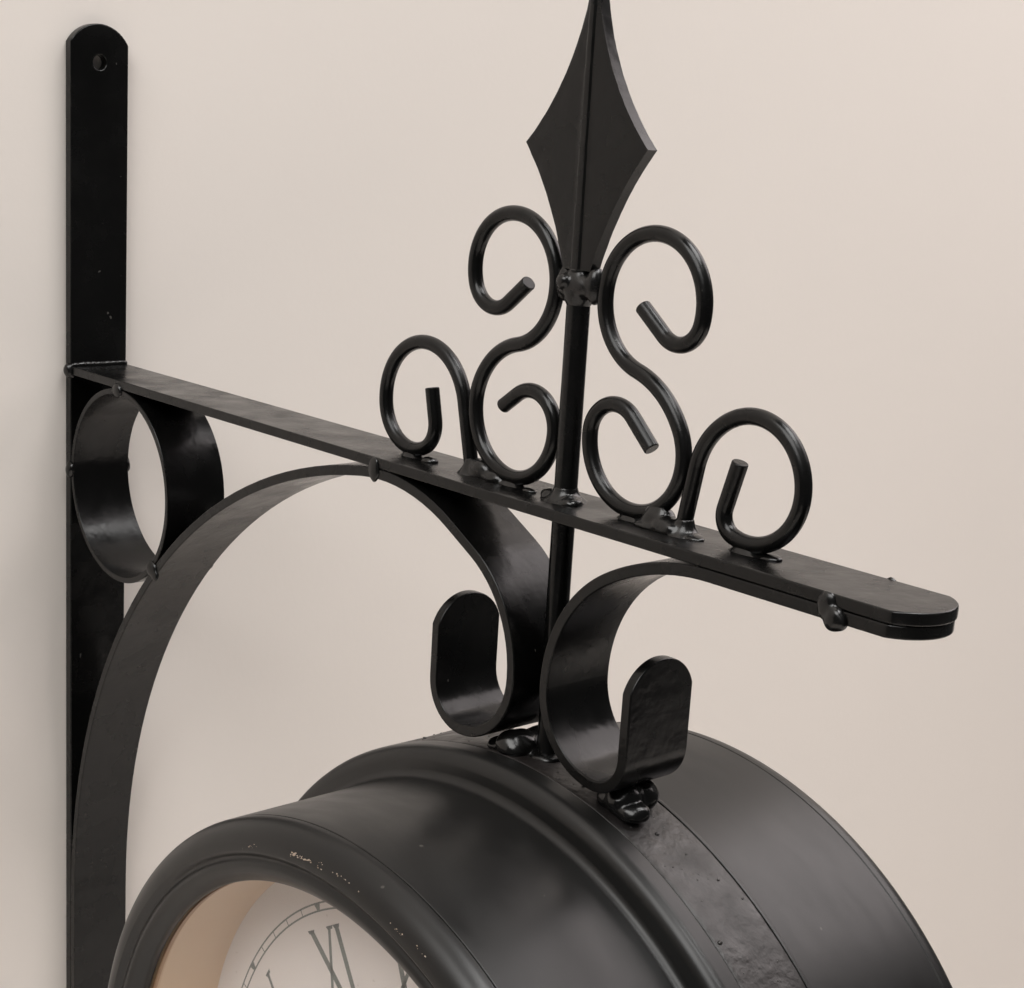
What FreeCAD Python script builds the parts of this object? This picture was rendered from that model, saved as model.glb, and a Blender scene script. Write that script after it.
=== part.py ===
import FreeCAD, Part
import math
import os

# Double sided station clock hung from a welded scroll bracket.
# Origin: on the wall, at the bracket's middle, level with the top of its arm.
# +X points away from the wall along the arm, +Z up. The two dials face -Y and +Y.
# All sizes are in millimetres and degrees.

V = FreeCAD.Vector
AXIS_X = V(1, 0, 0)
AXIS_Y = V(0, 1, 0)
AXIS_Z = V(0, 0, 1)

# flat bars and strips
FLAT_WIDTH = 22.0
WALL_BAR_THICK = 4.0
ARM_THICK = 3.0
STRIP_THICK = 3.0
RING_STRIP_THICK = 2.0
WALL_BAR_TOP = 118.0
WALL_BAR_BOTTOM = -300.0
WALL_BAR_CROWN = 6.6          # height of the rounded end above its corners
HOLE_FROM_END = 12.9
WALL_HOLE_RADIUS = 2.5
ARM_REACH = 359.5             # from the bar's face to the arm's tip
ARM_CROWN = 7.0
HOOK_CROWN = 7.8

# upright rod and its fittings
ROD_OUT = 244.5               # from the bar's face to the rod's axis
ROD_RADIUS = 3.0
ROD_FIT = 0.05
COLLAR_RADIUS = 4.6
COLLAR_HEIGHT = 7.9
LINK_RADIUS = 2.6
LINK_ABOVE_ARM = 54.3

# spearhead on top of the rod
SPEAR_THICK = 4.0
SPEAR_FOOT_HALF = 4.8
SPEAR_HEIGHT = 69.4
SPEAR_WIDEST_UP = 29.8
SPEAR_HALF_WIDTH = 21.2
SPEAR_TIP_HALF = 0.8
SPEAR_LOWER_WAIST = (12.0, 16.6)
SPEAR_UPPER_WAIST = (9.0, 45.4)
SPEAR_RIB_RADIUS = 1.5

# great arch strip and the smaller C-shaped strip under the arm; their bends grow or shrink
# together when the arch's hook and the bend over it have more or less height to fill
STRIP_REST = 16.1             # what the rest of the arch takes of that height
ARCH_TAIL_UP = 24.0           # from the wall bar's lower end to the arch's tail end
ARCH_END_RISE = 8             # slope where the great round meets the shoulder
ARCH_SHOULDER_RADIUS = 66.0
ARCH_SHOULDER_FALL = 28       # slope where the shoulder ends
ARCH_RUN = 11.2               # straight run after the shoulder
ARCH_BEND_RADIUS = 33.4
ARCH_HOOK_BENDS = (19.5, 11.5)  # radii on the rod's side and on the tip's side
ARCH_HOOK_UP = 0.5            # from the band's highest line up to the hook's underside
ARCH_TIP_RUN = 22.6
C_HOOK_TO_ROD = 3.5
C_HOOK_BENDS = (19.8, 9.2)
C_HOOK_UP = 1.8
C_TIP_RUN = 24.9
C_SIDE_RADIUS = 37.6
C_SIDE_TURN = 60
C_SHOULDER_RADIUS = 64.0
C_TIP_SHORT = 0.5             # how far the tail stops short of the arm's tip

# round-wire scrolls
# sizes from the lowest point: the arcs' radii, then the straight end if it has one; turns in degrees
WIRE_RADIUS = 2.0
LEFT_S_CURL = (14.7, 9.3, 6.8)
LEFT_S_CURL_TURNS = (87, 129)
LEFT_S_RISE = (14.7, 16.9, 19.4, 16.8, 16.8, 14.5, 8.4, 9.5)
LEFT_S_RISE_TURNS = (-13, -101, -54, 96, 85, 95, 111)
RIGHT_S_CURL = (16.4, 8.5, 9.7)
RIGHT_S_CURL_TURNS = (-91, -132)
RIGHT_S_RISE = (16.4, 15.0, 24.8, 17.1, 16.1, 16.0, 7.2, 9.9)
RIGHT_S_RISE_TURNS = (14, 106, 45, -96, -82, -89, -116)
LEFT_OUTER_CURL = (12.9, 7.5, 9.0)
LEFT_OUTER_CURL_TURNS = (24, 79)
LEFT_OUTER_RISE = (12.9, 17.2, 18.2)
LEFT_OUTER_RISE_TURNS = (-85, -116, -55)
RIGHT_OUTER_CURL = (14.2, 5.0, 11.8)
RIGHT_OUTER_CURL_TURNS = (-18, -88)
RIGHT_OUTER_RISE = (14.2, 15.0, 18.0)
RIGHT_OUTER_RISE_TURNS = (90, 113, 57)
SEAT_GAP = 0.1                # between a welded piece and what it stands on
LEFT_SCROLL_TO_ROD = 0.5
RIGHT_SCROLL_TO_ROD = 2.3
SCROLL_TO_SCROLL = 0.1
TOUCH_GAP = 0.05              # between two welded flat strips

# clock case
CASE_DROP = 190.5             # from the arm's top to the dials' centre
DRUM_RADIUS = 112.8
BEAD_OUT = 8.7                # how far bead and band stand out from the drum
BAND_WIDTH = 19.0
BAND_WALL = 1.5
BEAD_DEPTH = 8.1
BEAD_RADIUS = 4.0
REAR_LIP_DEPTH = 1.5          # the far drum has a thin lip in place of the bead
REAR_LIP_RADIUS = 0.5
DRUM_WALL = 1.0
DRUM_FOOT_FILLET = 2.5
DRUM_DEPTH = 54.3             # from the band's edge to the drum's front edge
SPIGOT_LENGTH = 6.5
SPIGOT_WALL = 1.0
SPIGOT_FIT = 0.3
FLANGE_GAP = 0.2
LEDGE_HEIGHT = 2.0
LEDGE_THICK = 1.5
LEDGE_DEPTH = 25.3            # from the drum's front edge back to the ledge's front
PLATE_THICK = 1.0
PLATE_FIT = 0.3
DIAL_THICK = 1.0
DIAL_UNDER_WELL = 1.8         # how far the dial runs under the cream ring
WELL_MOUTH_IN = 16.3          # from the drum's outside to the cream ring's mouth
WELL_TAPER = 1.1              # how much less its clear radius is at the dial
WELL_WALL = 1.0
WELL_LIP_THICK = 0.8
LENS_THICK = 2.0
LENS_OVERLAP = 4.5            # how far the glass runs behind the bezel's lip
GASKET_THICK = 0.8
GASKET_WIDTH = 3.0
BEZEL_GAP = 0.1
BEZEL_ROLL = 6.8
BEZEL_WALL = 1.2
BEZEL_SKIRT = 8.0
BEZEL_RISE = 7.9              # from the drum's edge to the bezel's crest
BEZEL_GROOVE_IN = 9.9         # from the drum's outside to the groove's inner edge
BEZEL_GROOVE_DEPTH = 1.6
BEZEL_GROOVE_WIDTH = 0.7
BEZEL_GROOVE_SLOPE = 1.3      # width of the groove's outer flank
BEZEL_LIP_WIDTH = 3.4         # rounded shoulder inside the groove
BEZEL_LIP_FALL = 1.1
BEZEL_LIP_CROWN = (1.5, 0.5)  # the shoulder's middle: inwards from the groove, up from its inner edge
BEZEL_MOUTH_FALL = 3.7        # from the crest to the inner edge
LENS_INSET = 5.7              # from the crest to the glass

# quartz movement behind each dial
MOVE_UP = 22.0
MOVE_WALL = 1.2
MOVE_RIB_DOWN = 16.3          # top of the rib over the battery bay
TRAIN_GAP = 1.0               # between the case's front wall and the hour wheel
SHAFT_END_GAP = 1.8           # from the cover to the minute shaft's end
TUBE_OUT = 3.2                # hour tube's end beyond the boss
TUBE_BEHIND_WHEEL = 0.2
HOUR_HAND_INSET = 0.3
HANDS_APART = 2.3             # from the hour tube's end to the minute hand
MINUTE_WHEEL_GAP = 2.2        # from the hour tube to the minute wheel
CANNON_OVERHANG = 0.4         # pinion's face beyond the minute wheel's
WASHER_THICK = 0.5
WASHER_RADIUS = 9.0
BOSS_RADIUS = 4.0
BOSS_PROUD = 0.5              # beyond the nut
BOSS_FIT = 0.3
NUT_WASHER_THICK = 0.4
NUT_WASHER_RADIUS = 7.5
NUT_ACROSS_FLATS = 12.0
NUT_HEIGHT = 2.2
THREAD_FIT = 0.05
HOUR_TUBE_RADIUS = 2.58
MINUTE_SHAFT_RADIUS = 1.68
SHAFT_FIT = 0.07
HAND_FIT = 0.02
ARBOR_RADIUS = 1.0
KNOB_RADIUS = 5.0
KNOB_HEIGHT = 3.6
KNOB_FLUTES = 18
KNOB_FLUTE_RADIUS = 0.35
COVER_GAP = 0.3
BATTERY_RADIUS = 7.1
BATTERY_LENGTH = 50.0
BATTERY_NUB = 1.0
BATTERY_NUB_RADIUS = 2.7
BATTERY_FRONT_GAP = 0.8
BATTERY_BACK_GAP = 0.8
BATTERY_SIDE_GAP = 0.55
CONTACT_DEPTH = 1.6           # from the bay's end wall to the dimple's tip
CONTACT_THICK = 0.4
CONTACT_SIZE = 10.0
CONTACT_DIMPLE_RADIUS = 2.0
CONTACT_GAP = 0.2
COIL_RADIUS = 3.2
COIL_LENGTH = 16.0
COIL_PLACE = (-14.0, 14.5)    # across and up from the dial's centre
COIL_FROM_WALL = 8.0
CHEEK_THICK = 1.0
CHEEK_HALF = 4.0
CHEEK_BACK = 4.5
BOARD_SIZE = (20.0, 1.2, 12.0)
BOARD_GAP = (1.0, 0.5)        # from the case's inside walls

# gears of the motion work
GEAR_MODULE = 0.5
CANNON_TEETH = 10
MINUTE_WHEEL_TEETH = 30
MINUTE_PINION_TEETH = 8
HOUR_WHEEL_TEETH = 32
ADDENDUM = 0.8                # in modules
DEDENDUM = 1.2
WHEEL_THICK = 1.2
PINION_THICK = 1.8
TOOTH_ROOT_SHARE = 0.26       # half width of a tooth at root and tip, as a share of the pitch
TOOTH_TIP_SHARE = 0.09

# hands, standing at 3:35
HAND_THICK = 0.6
HOUR_HAND_LENGTH = 55.0
MINUTE_HAND_LENGTH = 78.0
HAND_TAIL = 20.0
HOUR_HAND_ANGLE = 107.5
MINUTE_HAND_ANGLE = 210.0
HOUR_HUB_RADIUS = 5.5
MINUTE_HUB_RADIUS = 4.5
HUB_THICK = 1.0
CAP_RADIUS = 2.8
CAP_HEIGHT = 2.2
HOUR_HAND_HALF = 4.2          # half width at the widest place
MINUTE_HAND_HALF = 3.2
# outline of a hand: half width in widest half widths, distance out in hand lengths
LEAF = [(0.5, 0.0), (1.0, 0.62), (0.35, 0.86), (0.0, 1.0)]
TAIL_FLARE = 0.8

# places worked out from the sizes above
HALF_WIDTH = FLAT_WIDTH / 2
BAND_RADIUS = DRUM_RADIUS + BEAD_OUT
BEND_SCALE = (CASE_DROP - BAND_RADIUS) / (ARCH_HOOK_BENDS[0] + ARCH_BEND_RADIUS + STRIP_REST)
WELL_MOUTH_RADIUS = DRUM_RADIUS - WELL_MOUTH_IN
WELL_FOOT_RADIUS = WELL_MOUTH_RADIUS - WELL_TAPER
DIAL_RADIUS = WELL_FOOT_RADIUS + DIAL_UNDER_WELL
BEZEL_GROOVE_RADIUS = DRUM_RADIUS - BEZEL_GROOVE_IN
MOVE_HALF_WIDTH = BATTERY_LENGTH / 2 + CONTACT_GAP + CONTACT_DEPTH + MOVE_WALL
MOVE_DOWN = MOVE_RIB_DOWN + 2 * (MOVE_WALL + BATTERY_RADIUS + BATTERY_SIDE_GAP)
MOVE_DEPTH = MOVE_WALL + BATTERY_FRONT_GAP + 2 * BATTERY_RADIUS + BATTERY_BACK_GAP
BOSS_LENGTH = WASHER_THICK + PLATE_THICK + DIAL_THICK + NUT_WASHER_THICK + NUT_HEIGHT + BOSS_PROUD
WALL_FACE = WALL_BAR_THICK
ROD_X = WALL_FACE + ROD_OUT
CASE_Z = -CASE_DROP
BAND_HALF = BAND_WIDTH / 2
STRIP_MID = STRIP_THICK / 2
ARM_UNDER = -ARM_THICK
STRIP_TOP = ARM_UNDER - TOUCH_GAP - STRIP_MID
SPEAR_FOOT_Z = LINK_ABOVE_ARM + COLLAR_HEIGHT / 2

# depths from the clock's middle plane outwards, on either side
DRUM_SEAT = BAND_HALF + FLANGE_GAP
DRUM_FRONT = BAND_HALF + DRUM_DEPTH
LEDGE_FRONT = DRUM_FRONT - LEDGE_DEPTH
PLATE_FRONT = LEDGE_FRONT + PLATE_THICK
DIAL_FRONT = PLATE_FRONT + DIAL_THICK
BEZEL_CREST = DRUM_FRONT + BEZEL_RISE
LENS_FRONT = BEZEL_CREST - LENS_INSET
LENS_BACK = LENS_FRONT - LENS_THICK
GASKET_BACK = LENS_BACK - GASKET_THICK
LENS_RADIUS = WELL_MOUTH_RADIUS + LENS_OVERLAP
MOVE_FRONT = LEDGE_FRONT - WASHER_THICK
MOVE_BACK = MOVE_FRONT - MOVE_DEPTH
BOSS_FRONT = MOVE_FRONT + BOSS_LENGTH
MOVE_INSIDE = MOVE_FRONT - MOVE_WALL
HOUR_WHEEL_FRONT = MOVE_INSIDE - TRAIN_GAP
HOUR_TUBE_BACK = HOUR_WHEEL_FRONT - WHEEL_THICK - TUBE_BEHIND_WHEEL
HOUR_TUBE_FRONT = BOSS_FRONT + TUBE_OUT
HOUR_HAND_BACK = HOUR_TUBE_FRONT - HUB_THICK - HOUR_HAND_INSET
MINUTE_HAND_BACK = HOUR_TUBE_FRONT + HANDS_APART
CAP_BACK = MINUTE_HAND_BACK + HUB_THICK
MINUTE_WHEEL_FRONT = HOUR_TUBE_BACK - MINUTE_WHEEL_GAP
CANNON_FRONT = MINUTE_WHEEL_FRONT + CANNON_OVERHANG
MINUTE_SHAFT_BACK = MOVE_BACK + SHAFT_END_GAP
ARBOR_FRONT = MOVE_INSIDE - COVER_GAP
COVER_BACK = MOVE_BACK - MOVE_WALL
KNOB_FRONT = COVER_BACK - COVER_GAP
KNOB_BACK = KNOB_FRONT - KNOB_HEIGHT
GEAR_CENTRES = GEAR_MODULE * (CANNON_TEETH + MINUTE_WHEEL_TEETH) / 2
BATTERY_UP = -(MOVE_DOWN + MOVE_RIB_DOWN) / 2
BATTERY_AT = MOVE_INSIDE - BATTERY_RADIUS - BATTERY_FRONT_GAP


# paths made of straight runs and arcs in the bracket's plane

def step(x, z, heading, radius, turn):
    """The state after one piece of a path: a run when turn is None, or else an arc."""
    if turn is None:
        return x + radius * math.cos(heading), z + radius * math.sin(heading), heading
    side = math.copysign(radius, turn)
    centre_x = x - side * math.sin(heading)
    centre_z = z + side * math.cos(heading)
    heading += turn
    return centre_x + side * math.sin(heading), centre_z - side * math.cos(heading), heading


def radians_path(path):
    """Turns are written in degrees, to the left positive; a straight run has the turn None."""
    return [(size, None if turn is None else math.radians(turn)) for size, turn in path]


def path_states(start, heading, path):
    states = [(start[0], start[1], math.radians(heading))]
    for size, turn in radians_path(path):
        states.append(step(*states[-1], size, turn))
    return states


def offset_point(state, offset):
    x, z, heading = state
    return V(x - offset * math.sin(heading), 0, z + offset * math.cos(heading))


def path_edges(start, heading, path, offset=0.0):
    """Edges along a path, moved to its left by offset."""
    states = path_states(start, heading, path)
    edges = []
    for (size, turn), before in zip(radians_path(path), states):
        after = step(*before, size, turn)
        first = offset_point(before, offset)
        last = offset_point(after, offset)
        if turn is None:
            edges.append(Part.makeLine(first, last))
        else:
            middle = offset_point(step(*before, size, turn / 2), offset)
            edges.append(Part.Arc(first, middle, last).toShape())
    return edges


def both_ways(start, heading, forward, back):
    """One path from two that leave the same point: forward along heading, back against it."""
    end_x, end_z, end_heading = path_states(start, heading + 180, back)[-1]
    reversed_back = [(size, None if turn is None else -turn) for size, turn in reversed(back)]
    return (end_x, end_z), math.degrees(end_heading) + 180, reversed_back + forward


def strip(start, heading, path, thick):
    """A flat strip on edge: its thickness lies in the bracket's plane, its width across."""
    left = path_edges(start, heading, path, thick / 2)
    right = path_edges(start, heading, path, -thick / 2)
    first_cap = Part.makeLine(left[0].firstVertex().Point, right[0].firstVertex().Point)
    states = path_states(start, heading, path)
    last_cap = Part.makeLine(offset_point(states[-1], thick / 2), offset_point(states[-1], -thick / 2))
    outline = Part.Wire(Part.__sortEdges__(left + right + [first_cap, last_cap]))
    face = Part.Face(outline)
    face.translate(V(0, -HALF_WIDTH, 0))
    return face.extrude(V(0, FLAT_WIDTH, 0))


def crown_cutter(tip, heading, crown, thick):
    """What is cut off the end of a strip, so that its end is a shallow arc in the width."""
    radius = (HALF_WIDTH ** 2 + crown ** 2) / (2 * crown)
    block = Part.makeBox(2 * thick, 2 * FLAT_WIDTH, crown + thick, V(-thick, -FLAT_WIDTH, -crown))
    round_end = Part.makeCylinder(radius, 2 * thick, V(-thick, 0, -radius), AXIS_X)
    cutter = block.cut(round_end)
    cutter.rotate(V(0, 0, 0), AXIS_Y, 90 - heading)
    cutter.translate(V(tip[0], 0, tip[1]))
    return cutter


def wire(start, heading, path, radius=WIRE_RADIUS):
    """Round wire bent along a path: a cylinder for each run, part of a torus for each arc."""
    spine = Part.Wire(path_edges(start, heading, path))
    aim = math.radians(heading)
    section = Part.makeCircle(radius, V(start[0], 0, start[1]), V(math.cos(aim), 0, math.sin(aim)))
    return spine.makePipeShell([Part.Wire(section)], True, False)


# bracket

def crowned_outline(low, high, low_crown, high_crown):
    """Outline of a flat bar in X and Y; an end is a shallow arc of the given height, or square at 0."""
    corners = [V(low + low_crown, -HALF_WIDTH, 0), V(high - high_crown, -HALF_WIDTH, 0)]
    corners += [V(high - high_crown, HALF_WIDTH, 0), V(low + low_crown, HALF_WIDTH, 0)]
    edges = [Part.makeLine(corners[0], corners[1])]
    edges.append(Part.Arc(corners[1], V(high, 0, 0), corners[2]).toShape())
    edges.append(Part.makeLine(corners[2], corners[3]))
    if low_crown:
        edges.append(Part.Arc(corners[3], V(low, 0, 0), corners[0]).toShape())
    else:
        edges.append(Part.makeLine(corners[3], corners[0]))
    return Part.Wire(edges)


def wall_bar():
    outline = crowned_outline(WALL_BAR_BOTTOM, WALL_BAR_TOP, WALL_BAR_CROWN, WALL_BAR_CROWN)
    bar = Part.Face(outline).extrude(V(0, 0, WALL_BAR_THICK))
    bar.rotate(V(0, 0, 0), AXIS_Y, -90)
    bar.translate(V(WALL_BAR_THICK, 0, 0))
    for height in (WALL_BAR_TOP - HOLE_FROM_END, WALL_BAR_BOTTOM + HOLE_FROM_END):
        bar = bar.cut(Part.makeCylinder(WALL_HOLE_RADIUS, WALL_BAR_THICK, V(0, 0, height), AXIS_X))
    return bar


def arm_bar():
    outline = crowned_outline(WALL_FACE, WALL_FACE + ARM_REACH, 0, ARM_CROWN)
    bar = Part.Face(outline).extrude(V(0, 0, -ARM_THICK))
    return bar.cut(Part.makeCylinder(ROD_RADIUS + ROD_FIT, ARM_THICK, V(ROD_X, 0, ARM_UNDER), AXIS_Z))


def drop_rod():
    bottom = CASE_Z + BAND_RADIUS
    return Part.makeCylinder(ROD_RADIUS, SPEAR_FOOT_Z - bottom, V(ROD_X, 0, bottom), AXIS_Z)


def spear_side(side):
    """Edges of one side of the spearhead, from its foot to its tip: two hollow curves."""
    foot = V(ROD_X + side * SPEAR_FOOT_HALF, 0, SPEAR_FOOT_Z)
    lower = V(ROD_X + side * SPEAR_LOWER_WAIST[0], 0, SPEAR_FOOT_Z + SPEAR_LOWER_WAIST[1])
    widest = V(ROD_X + side * SPEAR_HALF_WIDTH, 0, SPEAR_FOOT_Z + SPEAR_WIDEST_UP)
    upper = V(ROD_X + side * SPEAR_UPPER_WAIST[0], 0, SPEAR_FOOT_Z + SPEAR_UPPER_WAIST[1])
    tip = V(ROD_X + side * SPEAR_TIP_HALF, 0, SPEAR_FOOT_Z + SPEAR_HEIGHT)
    return [Part.Arc(foot, lower, widest).toShape(), Part.Arc(widest, upper, tip).toShape()]


def finial():
    left = spear_side(-1)
    right = spear_side(1)
    foot = Part.makeLine(left[0].firstVertex().Point, right[0].firstVertex().Point)
    tip = Part.makeLine(left[1].lastVertex().Point, right[1].lastVertex().Point)
    outline = Part.Wire(Part.__sortEdges__(left + right + [foot, tip]))
    plate = Part.Face(outline)
    plate.translate(V(0, -SPEAR_THICK / 2, 0))
    plate = plate.extrude(V(0, SPEAR_THICK, 0))
    for side in (-1, 1):
        rib_base = V(ROD_X, side * SPEAR_THICK / 2, SPEAR_FOOT_Z)
        rib = Part.makeCone(SPEAR_RIB_RADIUS, SPEAR_TIP_HALF, SPEAR_HEIGHT, rib_base, AXIS_Z)
        plate = plate.fuse(rib)
    return plate.removeSplitter()


def seated(heading, forward, back):
    """A scroll bent both ways from its lowest point, which stands on the arm at x = 0."""
    return both_ways((0, WIRE_RADIUS + SEAT_GAP), heading, forward, back)


def path_span(path):
    """Least and greatest x of a scroll's middle line."""
    box = Part.Wire(path_edges(*path)).BoundBox
    return box.XMin, box.XMax


def moved_path(path, shift):
    (x, z), heading, pieces = path
    return (x + shift, z), heading, pieces


def bends(sizes, turns):
    """A path's pieces from its sizes and turns; the last size is a straight run."""
    return list(zip(sizes, turns + (None,)))


def tall_scroll(heading, curl, rise, limit):
    """A tall scroll that reaches just to the limit beside the rod, and where it stands."""
    path = seated(heading, curl, rise)
    shift = limit - path_span(path)[1 if heading == 0 else 0]
    return moved_path(path, shift), shift


def left_s():
    limit = ROD_X - ROD_RADIUS - LEFT_SCROLL_TO_ROD - WIRE_RADIUS
    rise = bends(LEFT_S_RISE, LEFT_S_RISE_TURNS)
    return tall_scroll(0, bends(LEFT_S_CURL, LEFT_S_CURL_TURNS), rise, limit)


def right_s():
    limit = ROD_X + ROD_RADIUS + RIGHT_SCROLL_TO_ROD + WIRE_RADIUS
    rise = bends(RIGHT_S_RISE, RIGHT_S_RISE_TURNS)
    return tall_scroll(180, bends(RIGHT_S_CURL, RIGHT_S_CURL_TURNS), rise, limit)


def beside(seat_x, tall_rise, heading, curl, fall):
    """An outer scroll: its straight leg leans down to the arm past the tall one's lowest bulge."""
    start_z = WIRE_RADIUS + SEAT_GAP
    bulge_start = path_states((seat_x, start_z), heading + 180, tall_rise[:1])[-1]
    bulge = offset_point(bulge_start, math.copysign(*tall_rise[1]))
    leg_x, leg_z, aim = path_states((0, start_z), heading + 180, fall)[-1]
    foot_z = SEAT_GAP + WIRE_RADIUS * abs(math.cos(aim))
    leg = (leg_z - foot_z) / -math.sin(aim)
    apart = tall_rise[1][0] + 2 * WIRE_RADIUS + SCROLL_TO_SCROLL
    if heading:
        apart = -apart
    touching_x = bulge.x - (apart - (bulge.z - leg_z) * math.cos(aim)) / -math.sin(aim)
    return moved_path(seated(heading, curl, fall + [(leg, None)]), touching_x - leg_x)


def left_outer_path():
    curl = bends(LEFT_OUTER_CURL, LEFT_OUTER_CURL_TURNS)
    fall = list(zip(LEFT_OUTER_RISE, LEFT_OUTER_RISE_TURNS))
    return beside(left_s()[1], bends(LEFT_S_RISE, LEFT_S_RISE_TURNS), 0, curl, fall)


def right_outer_path():
    curl = bends(RIGHT_OUTER_CURL, RIGHT_OUTER_CURL_TURNS)
    fall = list(zip(RIGHT_OUTER_RISE, RIGHT_OUTER_RISE_TURNS))
    return beside(right_s()[1], bends(RIGHT_S_RISE, RIGHT_S_RISE_TURNS), 180, curl, fall)


def scroll_bridge():
    """The lump of weld that ties both tall scrolls to the rod, under the spearhead."""
    low = V(ROD_X, 0, LINK_ABOVE_ARM - COLLAR_HEIGHT / 2)
    bridge = Part.makeCylinder(COLLAR_RADIUS, COLLAR_HEIGHT, low, AXIS_Z)
    reach = 2 * COLLAR_RADIUS
    link = Part.makeCylinder(LINK_RADIUS, 2 * reach, V(ROD_X - reach, 0, LINK_ABOVE_ARM), AXIS_X)
    bridge = bridge.fuse(link)
    bridge = bridge.cut(Part.makeCylinder(ROD_RADIUS + ROD_FIT, COLLAR_HEIGHT, low, AXIS_Z))
    for path, _ in (left_s(), right_s()):
        bridge = bridge.cut(wire(*path, WIRE_RADIUS + TOUCH_GAP))
    middle = V(ROD_X, 0, LINK_ABOVE_ARM)
    return max(bridge.Solids, key=lambda piece: piece.Volume if piece.BoundBox.isInside(middle) else 0)


def hook_bottom(up):
    """Height of a strip's middle where it turns under, over the clock's band; weld fills the gap."""
    return CASE_Z + BAND_RADIUS + up + STRIP_MID


def arch_end(start, heading, shoulder_turn):
    """The arch from where its great round ends: shoulder, straight run and bend, down to the leg."""
    path = [(BEND_SCALE * ARCH_SHOULDER_RADIUS, shoulder_turn), (BEND_SCALE * ARCH_RUN, None)]
    path.append((BEND_SCALE * ARCH_BEND_RADIUS, ARCH_SHOULDER_FALL - 90))
    return path, path_states(start, heading, path)[-1]


def arch_round():
    """Radius and centre of the great quarter round from the wall bar to the shoulder by the rod."""
    start_x = WALL_FACE + TOUCH_GAP + STRIP_MID
    leg_x = ROD_X - ROD_RADIUS - SEAT_GAP - STRIP_MID
    end_reach = arch_end((0, 0), ARCH_END_RISE, -ARCH_END_RISE - ARCH_SHOULDER_FALL)[1][0]
    rise = math.radians(ARCH_END_RISE)
    radius = (leg_x - end_reach - start_x) / (1 - math.sin(rise))
    shoulder_rise = BEND_SCALE * ARCH_SHOULDER_RADIUS * (1 - math.cos(rise))
    return radius, start_x + radius, STRIP_TOP - shoulder_rise - radius * math.cos(rise)


def arch_strip():
    """Up the wall bar, over in one great quarter round, and down to a small hook by the rod."""
    radius, centre_x, centre_z = arch_round()
    start = (centre_x - radius, WALL_BAR_BOTTOM + ARCH_TAIL_UP)
    path = [(centre_z - start[1], None), (radius, ARCH_END_RISE - 90)]
    shoulder = path_states(start, 90, path)[-1]
    end, leg = arch_end(shoulder[:2], ARCH_END_RISE, -ARCH_END_RISE - ARCH_SHOULDER_FALL)
    leg_bend, tip_bend = [BEND_SCALE * radius for radius in ARCH_HOOK_BENDS]
    path += end + [(leg[1] - leg_bend - hook_bottom(ARCH_HOOK_UP), None), (leg_bend, -90)]
    path += [(tip_bend, -90), (BEND_SCALE * ARCH_TIP_RUN, None)]
    tip = path_states(start, 90, path)[-1]
    bent = strip(start, 90, path, STRIP_THICK)
    bent = bent.cut(crown_cutter(tip[:2], 90, HOOK_CROWN, STRIP_THICK))
    return bent.cut(crown_cutter(start, -90, HOOK_CROWN, STRIP_THICK))


def c_scroll_strip():
    """A small hook beside the rod, up and over into a tail that lies under the arm."""
    leg_bend, tip_bend = [BEND_SCALE * radius for radius in C_HOOK_BENDS]
    side_radius = BEND_SCALE * C_SIDE_RADIUS
    shoulder_radius = BEND_SCALE * C_SHOULDER_RADIUS
    bottom = hook_bottom(C_HOOK_UP)
    tip_run = BEND_SCALE * C_TIP_RUN
    leg_x = ROD_X + ROD_RADIUS + C_HOOK_TO_ROD + STRIP_MID
    start = (leg_x + leg_bend + tip_bend, bottom + tip_bend + tip_run)
    side_rise = side_radius * math.sin(math.radians(C_SIDE_TURN))
    shoulder_rise = shoulder_radius * (1 - math.sin(math.radians(C_SIDE_TURN)))
    leg = STRIP_TOP - side_rise - shoulder_rise - leg_bend - bottom
    path = [(tip_run, None), (tip_bend, -90), (leg_bend, -90), (leg, None)]
    path += [(side_radius, -C_SIDE_TURN), (shoulder_radius, C_SIDE_TURN - 90)]
    tail_x = path_states(start, -90, path)[-1][0]
    tip_x = WALL_FACE + ARM_REACH - C_TIP_SHORT
    path.append((tip_x - tail_x, None))
    bent = strip(start, -90, path, STRIP_THICK)
    bent = bent.cut(crown_cutter(start, 90, HOOK_CROWN, STRIP_THICK))
    return bent.cut(crown_cutter((tip_x, STRIP_TOP), 0, ARM_CROWN, STRIP_THICK))


def ring_radius():
    """Outer radius of the ring that touches the wall bar, the arm and the arch."""
    arch_radius, arch_x, arch_z = arch_round()
    across = arch_x - WALL_FACE - TOUCH_GAP
    down = ARM_UNDER - TOUCH_GAP - arch_z
    reach = arch_radius + STRIP_MID + TOUCH_GAP
    total = across + down + reach
    return total - math.sqrt(total ** 2 - across ** 2 - down ** 2 + reach ** 2)


def corner_ring():
    radius = ring_radius()
    centre = V(WALL_FACE + TOUCH_GAP + radius, -HALF_WIDTH, ARM_UNDER - TOUCH_GAP - radius)
    outside = Part.makeCylinder(radius, FLAT_WIDTH, centre, AXIS_Y)
    return outside.cut(Part.makeCylinder(radius - RING_STRIP_THICK, FLAT_WIDTH, centre, AXIS_Y))


# clock: each piece of a side is built about the dials' centre, facing -Y

def turned(profile):
    """A ring or disc turned about the clock's axis. Points are (radius, depth outwards);
    a point given as (radius, depth, mid_radius, mid_depth) ends an arc through the middle."""
    places = [V(point[0], -point[1], 0) for point in profile]
    edges = []
    for index, point in enumerate(profile):
        before = places[index - 1]
        if len(point) == 4:
            edges.append(Part.Arc(before, V(point[2], -point[3], 0), places[index]).toShape())
        else:
            edges.append(Part.makeLine(before, places[index]))
    face = Part.Face(Part.Wire(edges))
    return face.revolve(V(0, 0, 0), AXIS_Y, 360)


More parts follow.
